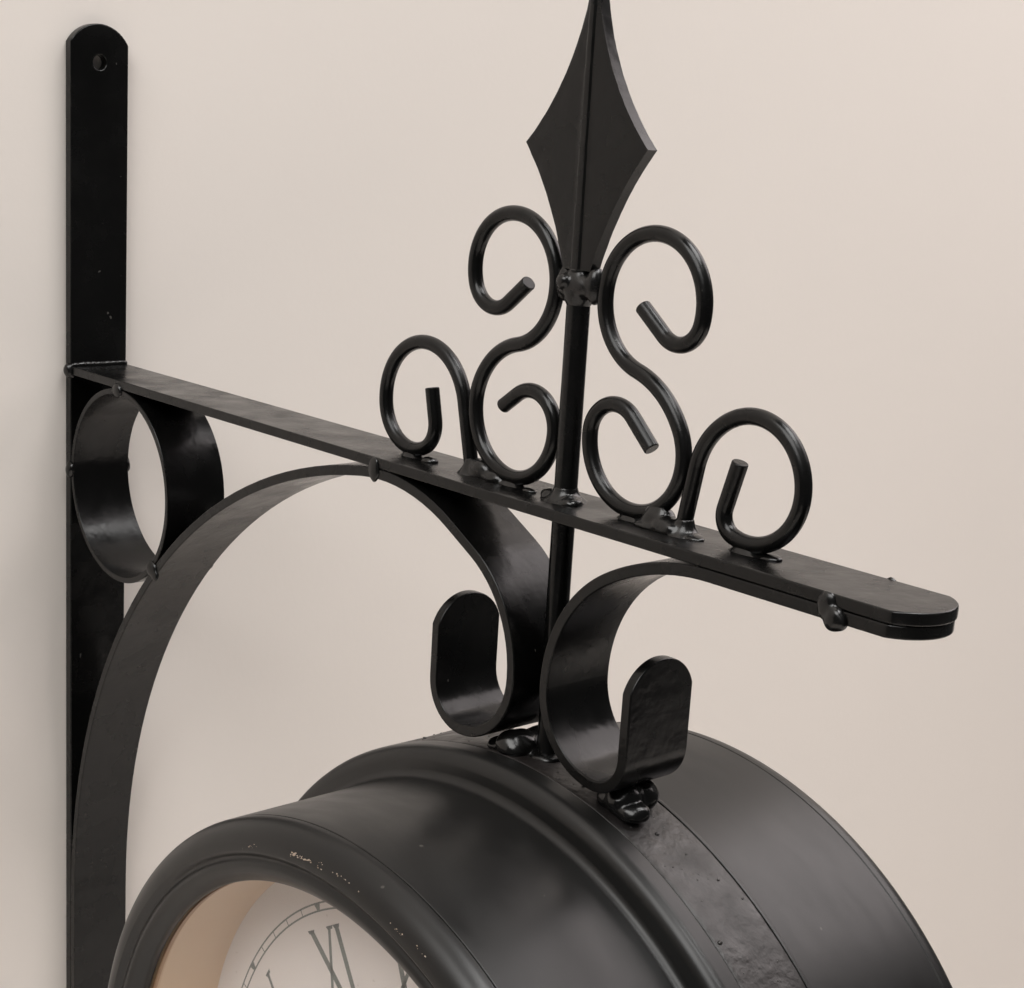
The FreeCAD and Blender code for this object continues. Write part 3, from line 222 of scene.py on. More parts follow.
COPPER_CHIP = (0.34, 0.25, 0.18)
WORN = (0.075, 0.07, 0.064)
MATERIALS = {
    "bracket_paint": surface(
        "bracket_paint", (0.0036, 0.0035, 0.0034), (0.0022, 0.0022, 0.0021), 0.25, vary=0.09,
        grain=(700, 0.022), lumps=(150, 0.16), patch=22, wear=(WORN, 0.45, 0.4),
        specks=((0.12, 0.115, 0.105), 380, 0.8, 0.4), Specular_IOR_Level=0.3),
    "weld_paint": surface(
        "weld_paint", (0.0046, 0.0044, 0.0042), (0.003, 0.0029, 0.0028), 0.24, vary=0.06,
        grain=(600, 0.006), lumps=(200, 0.05), patch=60, Specular_IOR_Level=0.45),
    "case_paint": surface(
        "case_paint", (0.0082, 0.008, 0.0077), (0.006, 0.0058, 0.0056), 0.35, vary=0.05,
        grain=(1500, 0.01), lumps=(60, 0.05), patch=14, stretch=(1, 3, 1),
        wear=(WORN, 0.45, 0.4), specks=((0.11, 0.1, 0.09), 330, 0.8, 0.4), Specular_IOR_Level=0.4),
    "band_paint": surface(
        "band_paint", (0.0165, 0.0135, 0.0125), (0.0095, 0.0082, 0.0078), 0.42, vary=0.12,
        grain=(850, 0.1), lumps=(260, 0.25), patch=30, cells=(240, 0.09), wear=(WORN, 0.5, 0.6)),
    "hand_black": surface(
        "hand_black", (0.012, 0.012, 0.012), (0.02, 0.02, 0.02), 0.42, grain=(2500, 0.006),
        lumps=(200, 0.01)),
    "cream_ring": surface(
        "cream_ring", (0.58, 0.4, 0.235), (0.52, 0.34, 0.19), 0.5, grain=(1800, 0.01),
        lumps=(90, 0.02), patch=10),
    "ring_edge": surface(
        "ring_edge", (0.4, 0.22, 0.1), (0.34, 0.18, 0.08), 0.5, grain=(1800, 0.01), lumps=(90, 0.02)),
    "dial_sheet": surface(
        "dial_sheet", (0.66, 0.6, 0.565), (0.6, 0.545, 0.51), 0.55, grain=(2600, 0.006), lumps=(40, 0.03),
        patch=6, specks=((0.35, 0.3, 0.25), 500, 0.78, 0.3)),
    "dial_ink": surface(
        "dial_ink", (0.075, 0.09, 0.08), (0.1, 0.115, 0.1), 0.55, grain=(3000, 0.004),
        lumps=(400, 0.006), patch=300),
    "clear_glass": glass("clear_glass"),
    "gasket_rubber": surface(
        "gasket_rubber", (0.012, 0.012, 0.012), (0.02, 0.02, 0.02), 0.75, grain=(1200, 0.03)),
    "zinc_plate": surface(
        "zinc_plate", (0.5, 0.5, 0.5), (0.38, 0.39, 0.4), 0.38, vary=0.12, grain=(600, 0.01), patch=80,
        stretch=(1, 1, 6), Metallic=1.0),
    "movement_plastic": surface(
        "movement_plastic", (0.02, 0.02, 0.021), (0.026, 0.026, 0.027), 0.5, grain=(1600, 0.03),
        lumps=(80, 0.01)),
    "gear_plastic": surface(
        "gear_plastic", (0.75, 0.74, 0.7), (0.68, 0.67, 0.62), 0.4, grain=(2000, 0.008),
        Subsurface_Weight=0.1),
    "brass_fixing": surface(
        "brass_fixing", (0.72, 0.5, 0.2), (0.6, 0.4, 0.15), 0.28, grain=(1500, 0.01), patch=120,
        Metallic=1.0),
    "battery_sleeve": surface(
        "battery_sleeve", (0.02, 0.02, 0.022), (0.03, 0.03, 0.03), 0.3, grain=(2000, 0.006)),
    "spring_steel": surface(
        "spring_steel", (0.55, 0.55, 0.54), (0.42, 0.42, 0.42), 0.3, grain=(900, 0.01), patch=90,
        Metallic=1.0),
    "coil_copper": surface(
        "coil_copper", (0.6, 0.25, 0.1), (0.45, 0.17, 0.06), 0.35, grain=(4000, 0.05), stretch=(8, 0.5, 0.5),
        Metallic=1.0),
    "board_green": surface(
        "board_green", (0.02, 0.12, 0.045), (0.015, 0.09, 0.035), 0.4, grain=(2500, 0.02), lumps=(500, 0.02)),
    "chip_metal": surface(
        "chip_metal", COPPER_CHIP, (0.42, 0.36, 0.3), 0.55, grain=(3000, 0.02), patch=700),
}


# ---------------------------------------------------------------- mesh tools

def piece(name, bm, body, slot, finish=None, smooth=True, angle=35):
    """A mesh object in millimetres from bm, riding on a body, with a slot's finish."""
    mesh = bpy.data.meshes.new(name)
    bmesh.ops.recalc_face_normals(bm, faces=bm.faces)
    bm.to_mesh(mesh)
    bm.free()
    mesh.transform(Matrix.Scale(MM, 4))
    return finished(bpy.data.objects.new(name, mesh), body, slot, finish, smooth, angle)


def finished(obj, body, slot, finish=None, smooth=True, angle=35):
    mesh = obj.data
    mesh.materials.clear()
    mesh.materials.append(MATERIALS[finish or slot])
    mesh.polygons.foreach_set("use_smooth", [smooth] * len(mesh.polygons))
    if smooth:
        mesh.set_sharp_from_angle(angle=math.radians(angle))
    bpy.context.scene.collection.objects.link(obj)
    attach(obj, body)
    return obj


def prism_faces(bm, first, second):
    """Both ends and the sides of a prism between two rings of vertices."""
    bm.faces.new(first)
    bm.faces.new(second)
    for index in range(len(first)):
        following = (index + 1) % len(first)
        bm.faces.new((first[index], first[following], second[following], second[index]))


def weight_normals(obj):
    modifier = obj.modifiers.new("weighted", "WEIGHTED_NORMAL")
    modifier.keep_sharp = True
    modifier.weight = 80


SHARP_EDGE = math.radians(40)


def softened(node, body, bevel, slot, segments=3):
    """A copy of a CAD node's mesh with its sharp edges rounded, standing for the node."""
    bm = bmesh.new()
    bm.from_mesh(NODES[node].data)
    bmesh.ops.scale(bm, vec=(1 / MM,) * 3, verts=bm.verts)
    bmesh.ops.remove_doubles(bm, verts=bm.verts, dist=0.002)
    bmesh.ops.dissolve_limit(bm, angle_limit=math.radians(0.4), verts=bm.verts, edges=bm.edges,
                             delimit={"NORMAL"})
    edges = [e for e in bm.edges if len(e.link_faces) == 2 and e.calc_face_angle(0) > SHARP_EDGE]
    bmesh.ops.bevel(bm, geom=edges, offset=bevel, segments=segments, profile=0.5, affect="EDGES",
                    clamp_overlap=False)
    obj = piece(node + "_shape", bm, body, slot)
    weight_normals(obj)
    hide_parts(node)


ARC_WEIGHT = 0.7071            # keeps a rounding near a quarter of a circle


def rounded(corners, steps=7):
    """A closed outline of (u, v, rounding) with each corner drawn as a short curve."""
    outline = []
    for index, (u, v, size) in enumerate(corners):
        here = Vector((u, v))
        if not size:
            outline.append(here)
            continue
        before = Vector(corners[index - 1][:2]) - here
        after = Vector(corners[(index + 1) % len(corners)][:2]) - here
        first = here + before.normalized() * min(size, before.length * 0.49)
        last = here + after.normalized() * min(size, after.length * 0.49)
        for count in range(steps + 1):
            t = count / steps
            pull = 2 * ARC_WEIGHT * t * (1 - t)
            total = (1 - t) ** 2 + pull + t ** 2
            outline.append(((1 - t) ** 2 * first + pull * here + t ** 2 * last) / total)
    return outline


def outward(angle):
    """The direction from the clock's axis at an angle from the top."""
    return Vector((math.sin(angle), 0, math.cos(angle)))


def lathe(name, outline, side, body, slot, finish=None, turns=256, angle=35, wobble=None, weighted=True):
    """A ring turned about the clock's axis from a closed outline of (radius, depth)."""
    bm = bmesh.new()
    rows = []
    for step in range(turns):
        a = 2 * math.pi * step / turns
        row = []
        for radius, depth in outline:
            place = Vector((ROD_X + radius * math.sin(a), side * depth, CASE_Z + radius * math.cos(a)))
            if wobble:
                place = wobble(place, radius, depth, a)
            row.append(bm.verts.new(place))
        rows.append(row)
    count = len(outline)
    for step in range(turns):
        one, two = rows[step], rows[(step + 1) % turns]
        for index in range(count):
            following = (index + 1) % count
            bm.faces.new((one[index], one[following], two[following], two[index]))
    obj = piece(name, bm, body, slot, finish, angle=angle)
    if weighted:
        weight_normals(obj)
    return obj


SEED_STEPS = (7.31, 3.17, 1.73)
SLOW_BUMPS, FAST_BUMPS = 1.4, 3.7
FAST_SHARE = 0.4


def lump(bm, centre, radii, seed, rough, detail=3, tilt=0):
    """An uneven drop of weld metal: a ball pressed to radii, turned by tilt about y,
    and pushed about by noise."""
    made = bmesh.ops.create_icosphere(bm, subdivisions=detail, radius=1.0)["verts"]
    turn = Matrix.Rotation(tilt, 3, "Y")
    shift = Vector([seed * step for step in SEED_STEPS])
    for vert in made:
        slow = noise.noise(vert.co * SLOW_BUMPS + shift)
        fast = noise.noise(vert.co * FAST_BUMPS + shift)
        push = 1 + rough * slow + FAST_SHARE * rough * fast
        place = Vector([c * r * push for c, r in zip(vert.co, radii)])
        vert.co = turn @ place + Vector(centre)


FILLET_HOLLOW = 2.4


def fillet(bm, centre, neck, foot, height, long=1.0, steps=20, rows=6):
    """A hollow cone of weld round a wire's foot, longer along x by the factor long."""
    rings = []
    for row in range(rows + 1):
        t = row / rows
        radius = neck + (foot - neck) * (1 - t) ** FILLET_HOLLOW
        rings.append([bm.verts.new((centre[0] + long * radius * math.cos(2 * math.pi * k / steps),
                                    centre[1] + radius * math.sin(2 * math.pi * k / steps),
                                    centre[2] + height * t)) for k in range(steps)])
    for low, high in zip(rings, rings[1:]):
        for k in range(steps):
            bm.faces.new((low[k], low[(k + 1) % steps], high[(k + 1) % steps], high[k]))
    bm.faces.new(rings[0])
    bm.faces.new(rings[-1])


def bead(bm, start, end, radius, seed, rough):
    """A row of overlapping drops along a joint."""
    start, end = Vector(start), Vector(end)
    count = max(2, round((end - start).length / (0.8 * radius)))
    draw = random.Random(seed)
    for index in range(count + 1):
        place = start.lerp(end, index / count)
        size = radius * draw.uniform(0.85, 1.15)
        lump(bm, place, (size, size, size), seed + index, rough, detail=2)


SKIN_CELL = 0.28
SKIN_SMOOTHINGS = 28
SKIN_SMOOTHING = 0.6


def merged(bm):
    """The lumps of bm joined into one smooth skin."""
    mesh = bpy.data.meshes.new("skin")
    bm.to_mesh(mesh)
    bm.free()
    obj = bpy.data.objects.new("skin", mesh)
    bpy.context.scene.collection.objects.link(obj)
    modifier = obj.modifiers.new("skin", "REMESH")
    modifier.mode = "VOXEL"
    modifier.voxel_size = SKIN_CELL
    smooth = obj.modifiers.new("smooth", "SMOOTH")
    smooth.iterations = SKIN_SMOOTHINGS
    smooth.factor = SKIN_SMOOTHING
    result = bpy.data.meshes.new_from_object(obj.evaluated_get(bpy.context.evaluated_depsgraph_get()))
    bpy.data.objects.remove(obj)
    bpy.data.meshes.remove(mesh)
    skin = bmesh.new()
    skin.from_mesh(result)
    bpy.data.meshes.remove(result)
    return skin


# ---------------------------------------------------------------- bracket

for flat_name, bevel_size in (("wall_bar", 0.5), ("arm_bar", 0.5), ("arch_strip", 0.45),
                              ("c_scroll_strip", 0.45), ("corner_ring", 0.4)):
    softened(flat_name, "bracket", bevel_size, "bracket_paint")
for wire_name in ("left_s_scroll", "right_s_scroll", "left_outer_scroll", "right_outer_scroll"):
    softened(wire_name, "bracket", 0.35, "bracket_paint", segments=2)
NODES["drop_rod"].data.materials.clear()
NODES["drop_rod"].data.materials.append(MATERIALS["bracket_paint"])


def arc_through(first, middle, last, count):
    """Points of the circle through three points, from the first to the last."""
    ax, ay = first
    bx, by = middle
    cx, cy = last
    d = 2 * (ax * (by - cy) + bx * (cy - ay) + cx * (ay - by))
    a2, b2, c2 = ax * ax + ay * ay, bx * bx + by * by, cx * cx + cy * cy
    ox = (a2 * (by - cy) + b2 * (cy - ay) + c2 * (ay - by)) / d
    oy = (a2 * (cx - bx) + b2 * (ax - cx) + c2 * (bx - ax)) / d
    radius = math.hypot(ax - ox, ay - oy)
    begin, stop = math.atan2(ay - oy, ax - ox), math.atan2(cy - oy, cx - ox)
    middle_angle = math.atan2(by - oy, bx - ox)

    def unwrap(angle):
        return begin + (angle - begin + math.pi) % (2 * math.pi) - math.pi

    stop = unwrap(stop)
    if not min(begin, stop) <= unwrap(middle_angle) <= max(begin, stop):
        stop += 2 * math.pi if stop < begin else -2 * math.pi
    return [(ox + radius * math.cos(begin + (stop - begin) * i / count),
             oy + radius * math.sin(begin + (stop - begin) * i / count)) for i in range(count + 1)]


# half widths and heights on the spearhead's outline
SPEAR_FOOT = (4.8, 0)
SPEAR_LOWER = (12.0, 16.6)
SPEAR_CORNER = (21.2, SPEAR_WIDEST_UP)
SPEAR_UPPER = (9.0, 45.4)
SPEAR_TIP = (0.8, SPEAR_HEIGHT)
SPEAR_HALF_THICK = 2.0
SPEAR_EDGE_BEVEL = 0.35
RIB_HALF = 1.5
RIB_HIGH = 0.42
RIB_TAPER = 0.35
# columns of a half face: share of the rib's half width and of its height, then shares of the rest
RIB_COLUMNS = [(0, 1), (0.45, 1), (0.8, 0.92), (0.92, 0.6), (1.04, 0.2), (1.2, 0)]
RIB_END = 1.2
PLAIN_COLUMNS = [0.08, 0.2, 0.34, 0.5, 0.66, 0.8, 0.9, 0.96, 1]


def spearhead():
    """Flat cast spearhead: hollow sides, faces that fall away a little from the middle,
    a low flat rib up the middle and a faint ridge across the widest place."""
    lower = arc_through(SPEAR_FOOT, SPEAR_LOWER, SPEAR_CORNER, 26)
    upper = arc_through(SPEAR_CORNER, SPEAR_UPPER, SPEAR_TIP, 34)
    rows = lower + upper[1:]
    bm = bmesh.new()
    grids = {}
    for face in (-1, 1):
        grid = []
        for half, up in rows:
            rib_reach = min(RIB_HALF * (1 - RIB_TAPER * up / SPEAR_HEIGHT), 0.6 * half)
            rib_end = RIB_END * rib_reach
            columns = [(share * rib_reach, rib) for share, rib in RIB_COLUMNS]
            columns += [(rib_end + (half - rib_end) * share, 0) for share in PLAIN_COLUMNS]
            columns = [(-x, rib) for x, rib in reversed(columns[1:])] + columns
            row = []
            for x, rib in columns:
                share = abs(x) / half
                rough_edge = 0.0
                if share > 0.999:
                    rough_edge = 0.16 * noise.noise(Vector((up * 0.55, math.copysign(9, x), 3.1)))
                ridge = 0.12 * math.exp(-((up - SPEAR_WIDEST_UP) / 0.8) ** 2) * (1 - share)
                fall = 0.3 * share + 0.12 * share ** 6
                cast = 0.1 * noise.noise(Vector((x * 0.35, up * 0.35, face * 5.0)))
                depth = SPEAR_HALF_THICK - fall + RIB_HIGH * rib + ridge + cast
                row.append(bm.verts.new((ROD_X + x + math.copysign(rough_edge, x), face * depth,
                                         SPEAR_FOOT_Z + up)))
            grid.append(row)
        grids[face] = grid
        for low, high in zip(grid, grid[1:]):
            for left in range(len(low) - 1):
                bm.faces.new((low[left], low[left + 1], high[left + 1], high[left]))
    front, back = grids[-1], grids[1]
    for column in (0, -1):
        for index in range(len(rows) - 1):
            bm.faces.new((front[index][column], front[index + 1][column],
                          back[index + 1][column], back[index][column]))
    for row in (0, -1):
        for left in range(len(front[row]) - 1):
            bm.faces.new((front[row][left], front[row][left + 1], back[row][left + 1], back[row][left]))
    sharp = [e for e in bm.edges if len(e.link_faces) == 2 and e.calc_face_angle(0) > math.radians(50)]
    bmesh.ops.bevel(bm, geom=sharp, offset=SPEAR_EDGE_BEVEL, segments=2, profile=0.5, affect="EDGES",
                    clamp_overlap=True)
    obj = piece("spearhead", bm, "bracket", "bracket_paint", angle=50)
    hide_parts("finial")


spearhead()


# place (its height from the bridge's middle), half sizes, seed and roughness
BRIDGE_DROPS = [
    ((ROD_X, -0.2, 0), (7.6, 4.0, 3.6), 3, 0.05), ((ROD_X, 0, -0.6), (4.2, 4.2, 6.2), 4, 0.05),
    ((243.8, -0.2, 0.2), (2.4, 2.7, 4.8), 5, 0.06), ((254.4, -0.2, 0.6), (2.5, 2.8, 4.8), 9, 0.06),
    ((246.6, -3.6, 1.0), (2.3, 2.0, 2.1), 8, 0.08),
]


def bridge():
    """The lump of weld that ties the tall scrolls to the rod."""
    bm = bmesh.new()
    for (x, y, up), radii, seed, rough in BRIDGE_DROPS:
        lump(bm, (x, y, BRIDGE_Z + up), radii, seed, rough)
    obj = piece("bridge_weld", merged(bm), "bracket", "bracket_paint", "weld_paint", angle=80)
    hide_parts("scroll_bridge")


bridge()

# round the wires' feet: place along the arm, then neck, foot, height, and how much longer along x
FILLETS = [
    (185.6, 1.4, 3.0, 2.4, 1.9), (211.7, 2.2, 4.6, 4.6, 1.0), (228.4, 1.4, 3.0, 2.2, 2.0),
    (ROD_X, 3.1, 6.6, 4.2, 1.0), (272.3, 1.4, 3.0, 2.2, 2.0), (289.7, 2.2, 4.8, 4.4, 1.0),
    (309.0, 1.4, 3.2, 2.4, 2.1),
]
FILLET_FOOT_Z = -0.3
# a drop's middle and half sizes, by where it sits
DROPS_ON_ARM = [
    ((194.4, -0.6, 0.2), (2.8, 2.4, 1.3)), ((216.2, -0.3, 1.0), (5.4, 3.1, 3.6)),
    ((221.4, -0.6, 0.6), (4.6, 2.7, 2.2)), ((236.5, -1.4, 0.1), (2.6, 1.8, 0.9)),
    ((244.6, -0.8, 0.6), (3.6, 2.8, 2.0)), ((252.8, -1.8, 0.2), (3.0, 3.0, 1.7)),
    ((281.6, -0.4, 1.6), (5.0, 3.4, 4.4)), ((285.2, -1.6, 0.8), (4.8, 3.5, 2.9)),
    ((280.4, -2.6, 0.3), (4.4, 2.4, 1.4)), ((294.0, -0.9, 0.1), (2.8, 2.3, 0.9)),
    ((315.6, 0.8, 0.1), (3.2, 2.2, 1.0)),
]
DROPS_UNDER_ARM = [((245.4, -0.6, -3.4), (2.8, 3.2, 1.7)), ((251.2, 0.8, -3.3), (2.4, 2.8, 1.2))]
# these sit at the strips' edges, on the front or on both edges
DROPS_ON_EDGES = [
    ((2.6, -1.6), (2.6, 1.9, 2.7), (-1,)), ((37.6, -3.4), (3.2, 1.3, 2.6), (-1, 1)),
    ((3.8, -37.4), (2.4, 1.7, 3.3), (-1, 1)), ((62.0, -60.6), (3.0, 1.6, 3.0), (-1, 1)),
    ((64.2, -62.6), (2.2, 1.2, 2.2), (-1,)), ((182.8, -3.6), (2.6, 1.0, 3.7), (-1, 1)),
    ((341.0, -2.9), (2.6, 1.3, 3.4), (-1, 1)), ((343.6, -5.2), (3.2, 1.9, 3.0), (-1, 1)),
    ((5.2, -272.0), (2.4, 1.5, 3.2), (-1, 1)),
]
# under the hooks and round the rod's foot, where the bracket holds the case
DROPS_ON_BAND = [
    ((240.6, -3.6, -67.6), (5.6, 6.4, 4.0)), ((236.6, -3.8, -69.3), (5.6, 5.2, 2.5)),
    ((240.6, 4.4, -67.9), (5.2, 5.2, 3.6)), ((ROD_X, 0, -69.3), (5.6, 5.2, 2.2)),
    ((279.8, -2.4, -69.9), (4.9, 5.6, 4.8)), ((282.8, -3.0, -71.9), (5.2, 4.6, 3.0)),
    ((276.6, -2.4, -70.8), (5.0, 5.0, 3.2)), ((279.8, 3.6, -70.2), (4.4, 4.6, 4.2)),
]
# two rows of drops where the arm meets the wall bar
BEAD_X = 4.3
BEAD_HALF = 10.2
BEAD_RADIUS = 1.2
BEAD_HEIGHTS = (0.4, -3.4)


def welds():
    """All drops, fillets and rows of weld outside the bridge, as one skin."""
    bm = bmesh.new()
    seed = 20
    for centre, radii in DROPS_ON_ARM + DROPS_UNDER_ARM:
        lump(bm, centre, radii, seed, 0.14)
        seed += 1
    for (x, z), radii, sides in DROPS_ON_EDGES:
        for side in sides:
            lump(bm, (x, side * HALF_WIDTH, z), radii, seed, 0.18)
            seed += 1
    for centre, radii in DROPS_ON_BAND:
        lump(bm, centre, radii, seed, 0.12)
        seed += 1
    for x, neck, foot, height, long in FILLETS:
        fillet(bm, (x, 0, FILLET_FOOT_Z), neck, foot, height, long)
    for height in BEAD_HEIGHTS:
        bead(bm, (BEAD_X, -BEAD_HALF, height), (BEAD_X, BEAD_HALF, height), BEAD_RADIUS, seed, 0.18)
        seed += 30
    piece("weld_drops", merged(bm), "bracket", "bracket_paint", "weld_paint", angle=80)


welds()


# ---------------------------------------------------------------- clock case

BAND_RIM = 0.35
BAND_ROWS = 16


def band():
    """Welded band between the drums, with an uneven outside."""
    inner = BAND_RADIUS - BAND_WALL
    flat = BAND_HALF - BAND_RIM
    outline = [(inner, -BAND_HALF), (inner, BAND_HALF), (BAND_RADIUS - BAND_RIM, BAND_HALF),
               (BAND_RADIUS - 0.1, BAND_HALF - 0.12), (BAND_RADIUS, flat)]
    for index in range(1, BAND_ROWS):
        outline.append((BAND_RADIUS, flat * (1 - 2 * index / BAND_ROWS)))
    outline += [(BAND_RADIUS, -flat), (BAND_RADIUS - 0.1, 0.12 - BAND_HALF),
                (BAND_RADIUS - BAND_RIM, -BAND_HALF)]

    def uneven(place, radius, depth, angle):
        if radius < BAND_RADIUS - 0.2:
            return place
        out = outward(angle)
        slow = noise.noise(place * 0.12)
        fine = noise.noise(place * 0.55 + Vector((40, 0, 0)))
        return place + out * (0.10 * slow + 0.07 * fine - 0.05)

    obj = lathe("band_shape", outline, -1, "bracket", "case_paint", "band_paint", turns=720, wobble=uneven,
                angle=50, weighted=False)
    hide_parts("centre_band")


band()


SPATTER_COUNT = 150
SPATTER_NEAR = 0.55            # the share of drops close to the hooks
SPATTER_LEAST, SPATTER_MOST = 0.14, 0.62


def spatter():
    """Small drops that the welding left on the band."""
    draw = random.Random(11)
    bm = bmesh.new()
    for count in range(SPATTER_COUNT):
        near = draw.random() < SPATTER_NEAR
        angle = draw.gauss(0.1, 0.28) if near else draw.uniform(0, 2 * math.pi)
        depth = draw.uniform(-BAND_HALF + 0.8, BAND_HALF - 0.8)
        size = min(SPATTER_MOST, SPATTER_LEAST + draw.expovariate(7.0))
        reach = BAND_RADIUS - 0.1
        centre = (ROD_X + reach * math.sin(angle), depth, CASE_Z + reach * math.cos(angle))
        lump(bm, centre, (size, size * 1.2, size * 0.8), 200 + count, 0.3, detail=2, tilt=angle)
    piece("band_spatter", bm, "bracket", "case_paint", "band_paint", angle=80)


spatter()


def drum_outline(bead_front, roll, inside_roll):
    """Spigot, bead or lip, foot fillet, wall, and the ledge that the dial rests on."""
    inner = DRUM_RADIUS - DRUM_WALL
    ledge_inner, ledge_back = inner - LEDGE_REACH, LEDGE_FRONT - LEDGE_THICK
    spigot_inner, web_back = SPIGOT_RADIUS - DRUM_WALL, bead_front - DRUM_WALL
    return rounded([
        (spigot_inner, SPIGOT_BACK, 0.3), (SPIGOT_RADIUS, SPIGOT_BACK, 0.3), (SPIGOT_RADIUS, DRUM_SEAT, 0),
        (BAND_RADIUS, DRUM_SEAT, 0.25), (BAND_RADIUS, bead_front, roll), (DRUM_RADIUS, bead_front, 2.5),
        (DRUM_RADIUS, DRUM_FRONT, 0.3), (inner, DRUM_FRONT, 0.3), (inner, LEDGE_FRONT, 0),
        (ledge_inner, LEDGE_FRONT, 0.3), (ledge_inner, ledge_back, 0.3), (inner, ledge_back, 0),
        (inner, web_back, 2.0), (spigot_inner, web_back, inside_roll)])


DRUM_OUTLINES = {"front": drum_outline(BEAD_FRONT, 4.0, 2.0),
                 "rear": drum_outline(REAR_LIP_FRONT, 0.5, 0.3)}


# the rim's face inside the roll: radius, depth below the crest, rounding
BEZEL_FACE = [(104.9, 0, 0.9), (103.6, 1.6, 0.5), (102.9, 1.6, 0.25), (101.9, 0.78, 0.7), (100.4, 0.72, 1.0),
              (98.6, 1.6, 1.3), (MOUTH_RADIUS, 3.9, 0.7)]
BEZEL_INNER_ROLL = 5.6


def bezel_outline():
    """Skirt, rolled front, grooved face, seat of the glass, and back round the roll's inside."""
    crest = BEZEL_CREST
    roll_in = DRUM_RADIUS - BEZEL_ROLL
    roll_back = crest - BEZEL_ROLL
    skirt_inner, skirt_outer, skirt_back = DRUM_RADIUS - 2.3, DRUM_RADIUS - 1.1, BEZEL_SEAT - BEZEL_SKIRT
    cup, cup_outer, cup_back = LENS_RADIUS + 0.2, LENS_RADIUS + 1.4, GASKET_BACK - WELL_FLANGE

    def roll(radius, angle):
        return roll_in + radius * math.cos(angle), roll_back + radius * math.sin(angle)

    outline = [(skirt_inner, skirt_back), (skirt_outer, skirt_back), (skirt_outer, BEZEL_SEAT),
               (DRUM_RADIUS - 0.25, BEZEL_SEAT), (DRUM_RADIUS, BEZEL_SEAT + 0.3)]
    outline += [roll(BEZEL_ROLL, math.pi / 2 * index / 18) for index in range(19)]
    face = [(radius, crest - below, rounding) for radius, below, rounding in BEZEL_FACE]
    groove = rounded([(roll_in, crest, 0)] + face + [(MOUTH_RADIUS, LENS_FRONT, 0)], 6)
    outline += [tuple(point) for point in groove[1:]]
    outline += [(cup, LENS_FRONT), (cup, cup_back), (cup_outer, cup_back), (cup_outer, crest - 4.0),
                (roll_in, crest - 1.2)]
    outline += [roll(BEZEL_INNER_ROLL, math.pi / 2 * (1 - index / 8)) for index in range(1, 9)]
    return outline + [(skirt_inner, BEZEL_SEAT)]


def spun(place, radius, depth, angle):
    """The slight unevenness of a shell spun by hand."""
    out = outward(angle)
    slow = noise.noise(Vector((math.sin(angle) * 1.6, math.cos(angle) * 1.6, depth * 0.05)))
    return place + out * 0.12 * slow


def roll_depth(radius):
    """How far out the rim's roll stands at a radius."""
    reach = radius - (DRUM_RADIUS - BEZEL_ROLL)
    return BEZEL_CREST - BEZEL_ROLL + math.sqrt(BEZEL_ROLL ** 2 - reach ** 2)


# angle from the top in degrees, its spread, radius, how many, greatest size
CHIP_GROUPS = [
    (-16.5, 1.2, 106.6, 6, 0.2), (-5, 3.0, 107.4, 30, 0.27), (4.5, 4.0, 108.3, 12, 0.2),
    (15.5, 2.6, 107.8, 7, 0.18), (21.0, 2.0, 108.7, 4, 0.18), (80, 6, 107.5, 9, 0.25),
    (200, 9, 108, 12, 0.3),
]
CHIP_SEEDS = {"front": 5, "rear": 6}
CHIP_CORNERS = 8
CHIP_PROUD, CHIP_SUNK = 0.05, -0.1


def chips(side_name):
    """Flakes off the rim's paint, down to metal, along the roll's crest."""
    side = SIDES[side_name]
    draw = random.Random(CHIP_SEEDS[side_name])
    bm = bmesh.new()
    for middle, width, ring, count, greatest in CHIP_GROUPS:
        for flake in range(count):
            angle = math.radians(draw.gauss(middle, width * 0.6))
            radius = ring + draw.gauss(0, 0.22)
            size = draw.uniform(0.35, 1.0) * greatest
            long_way = draw.uniform(1.0, 2.4)
            corners = []
            for corner in range(CHIP_CORNERS):
                c = 2 * math.pi * corner / CHIP_CORNERS
                reach = size * draw.uniform(0.5, 1.0)
                r = radius + reach * math.sin(c)
                a = angle + long_way * reach * math.cos(c) / radius
                corners.append((r, a))
            top, bottom = ([bm.verts.new((ROD_X - side * r * math.sin(a), side * (roll_depth(r) + lift),
                                          CASE_Z + r * math.cos(a))) for r, a in corners]
                           for lift in (CHIP_PROUD, CHIP_SUNK))
            prism_faces(bm, top, bottom)
    piece(side_name + "_rim_chips", bm, side_name + "_clock", "case_paint", "chip_metal", smooth=False)


# ---------------------------------------------------------------- dial

TRACK_OUTER = 85.1
TRACK_INNER = 82.5
TRACK_LINE = 0.5
NUMERAL_TOP = 78.2
NUMERAL_FOOT = 54.4
THICK_STROKE = 1.9
THIN_STROKE = 1.15
SERIF = 3.4
SERIF_HIGH = 0.95
SERIF_INNER = 0.34             # half of its inner edge, as a share of the serif
TICK_HALF = 0.17
TICK_GAP = 0.2
HOUR_MARK_OUTER = 1.6
HOUR_MARK_INNER = 0.45
GLYPH_HALF = {"I": 1.7, "V": 6.2, "X": 6.45}
CROSS_REACH = 4.75
INK_PROUD = 0.05
INK_SUNK = 0.02
DIAL_TURN = -0.6               # degrees that the printed sheet sits turned in the case
NUMERALS = ("XII", "I", "II", "III", "IIII", "V", "VI", "VII", "VIII", "IX", "X", "XI")


def ink_prism(bm, side, corners):
    """A raised printed shape from (x, z) corners about the dial's centre, as its viewer sees them."""
    low, high = ([bm.verts.new((ROD_X - side * x, side * (DIAL_FRONT + lift), CASE_Z + z))
                  for x, z in corners] for lift in (-INK_SUNK, INK_PROUD))
    prism_faces(bm, low, high)


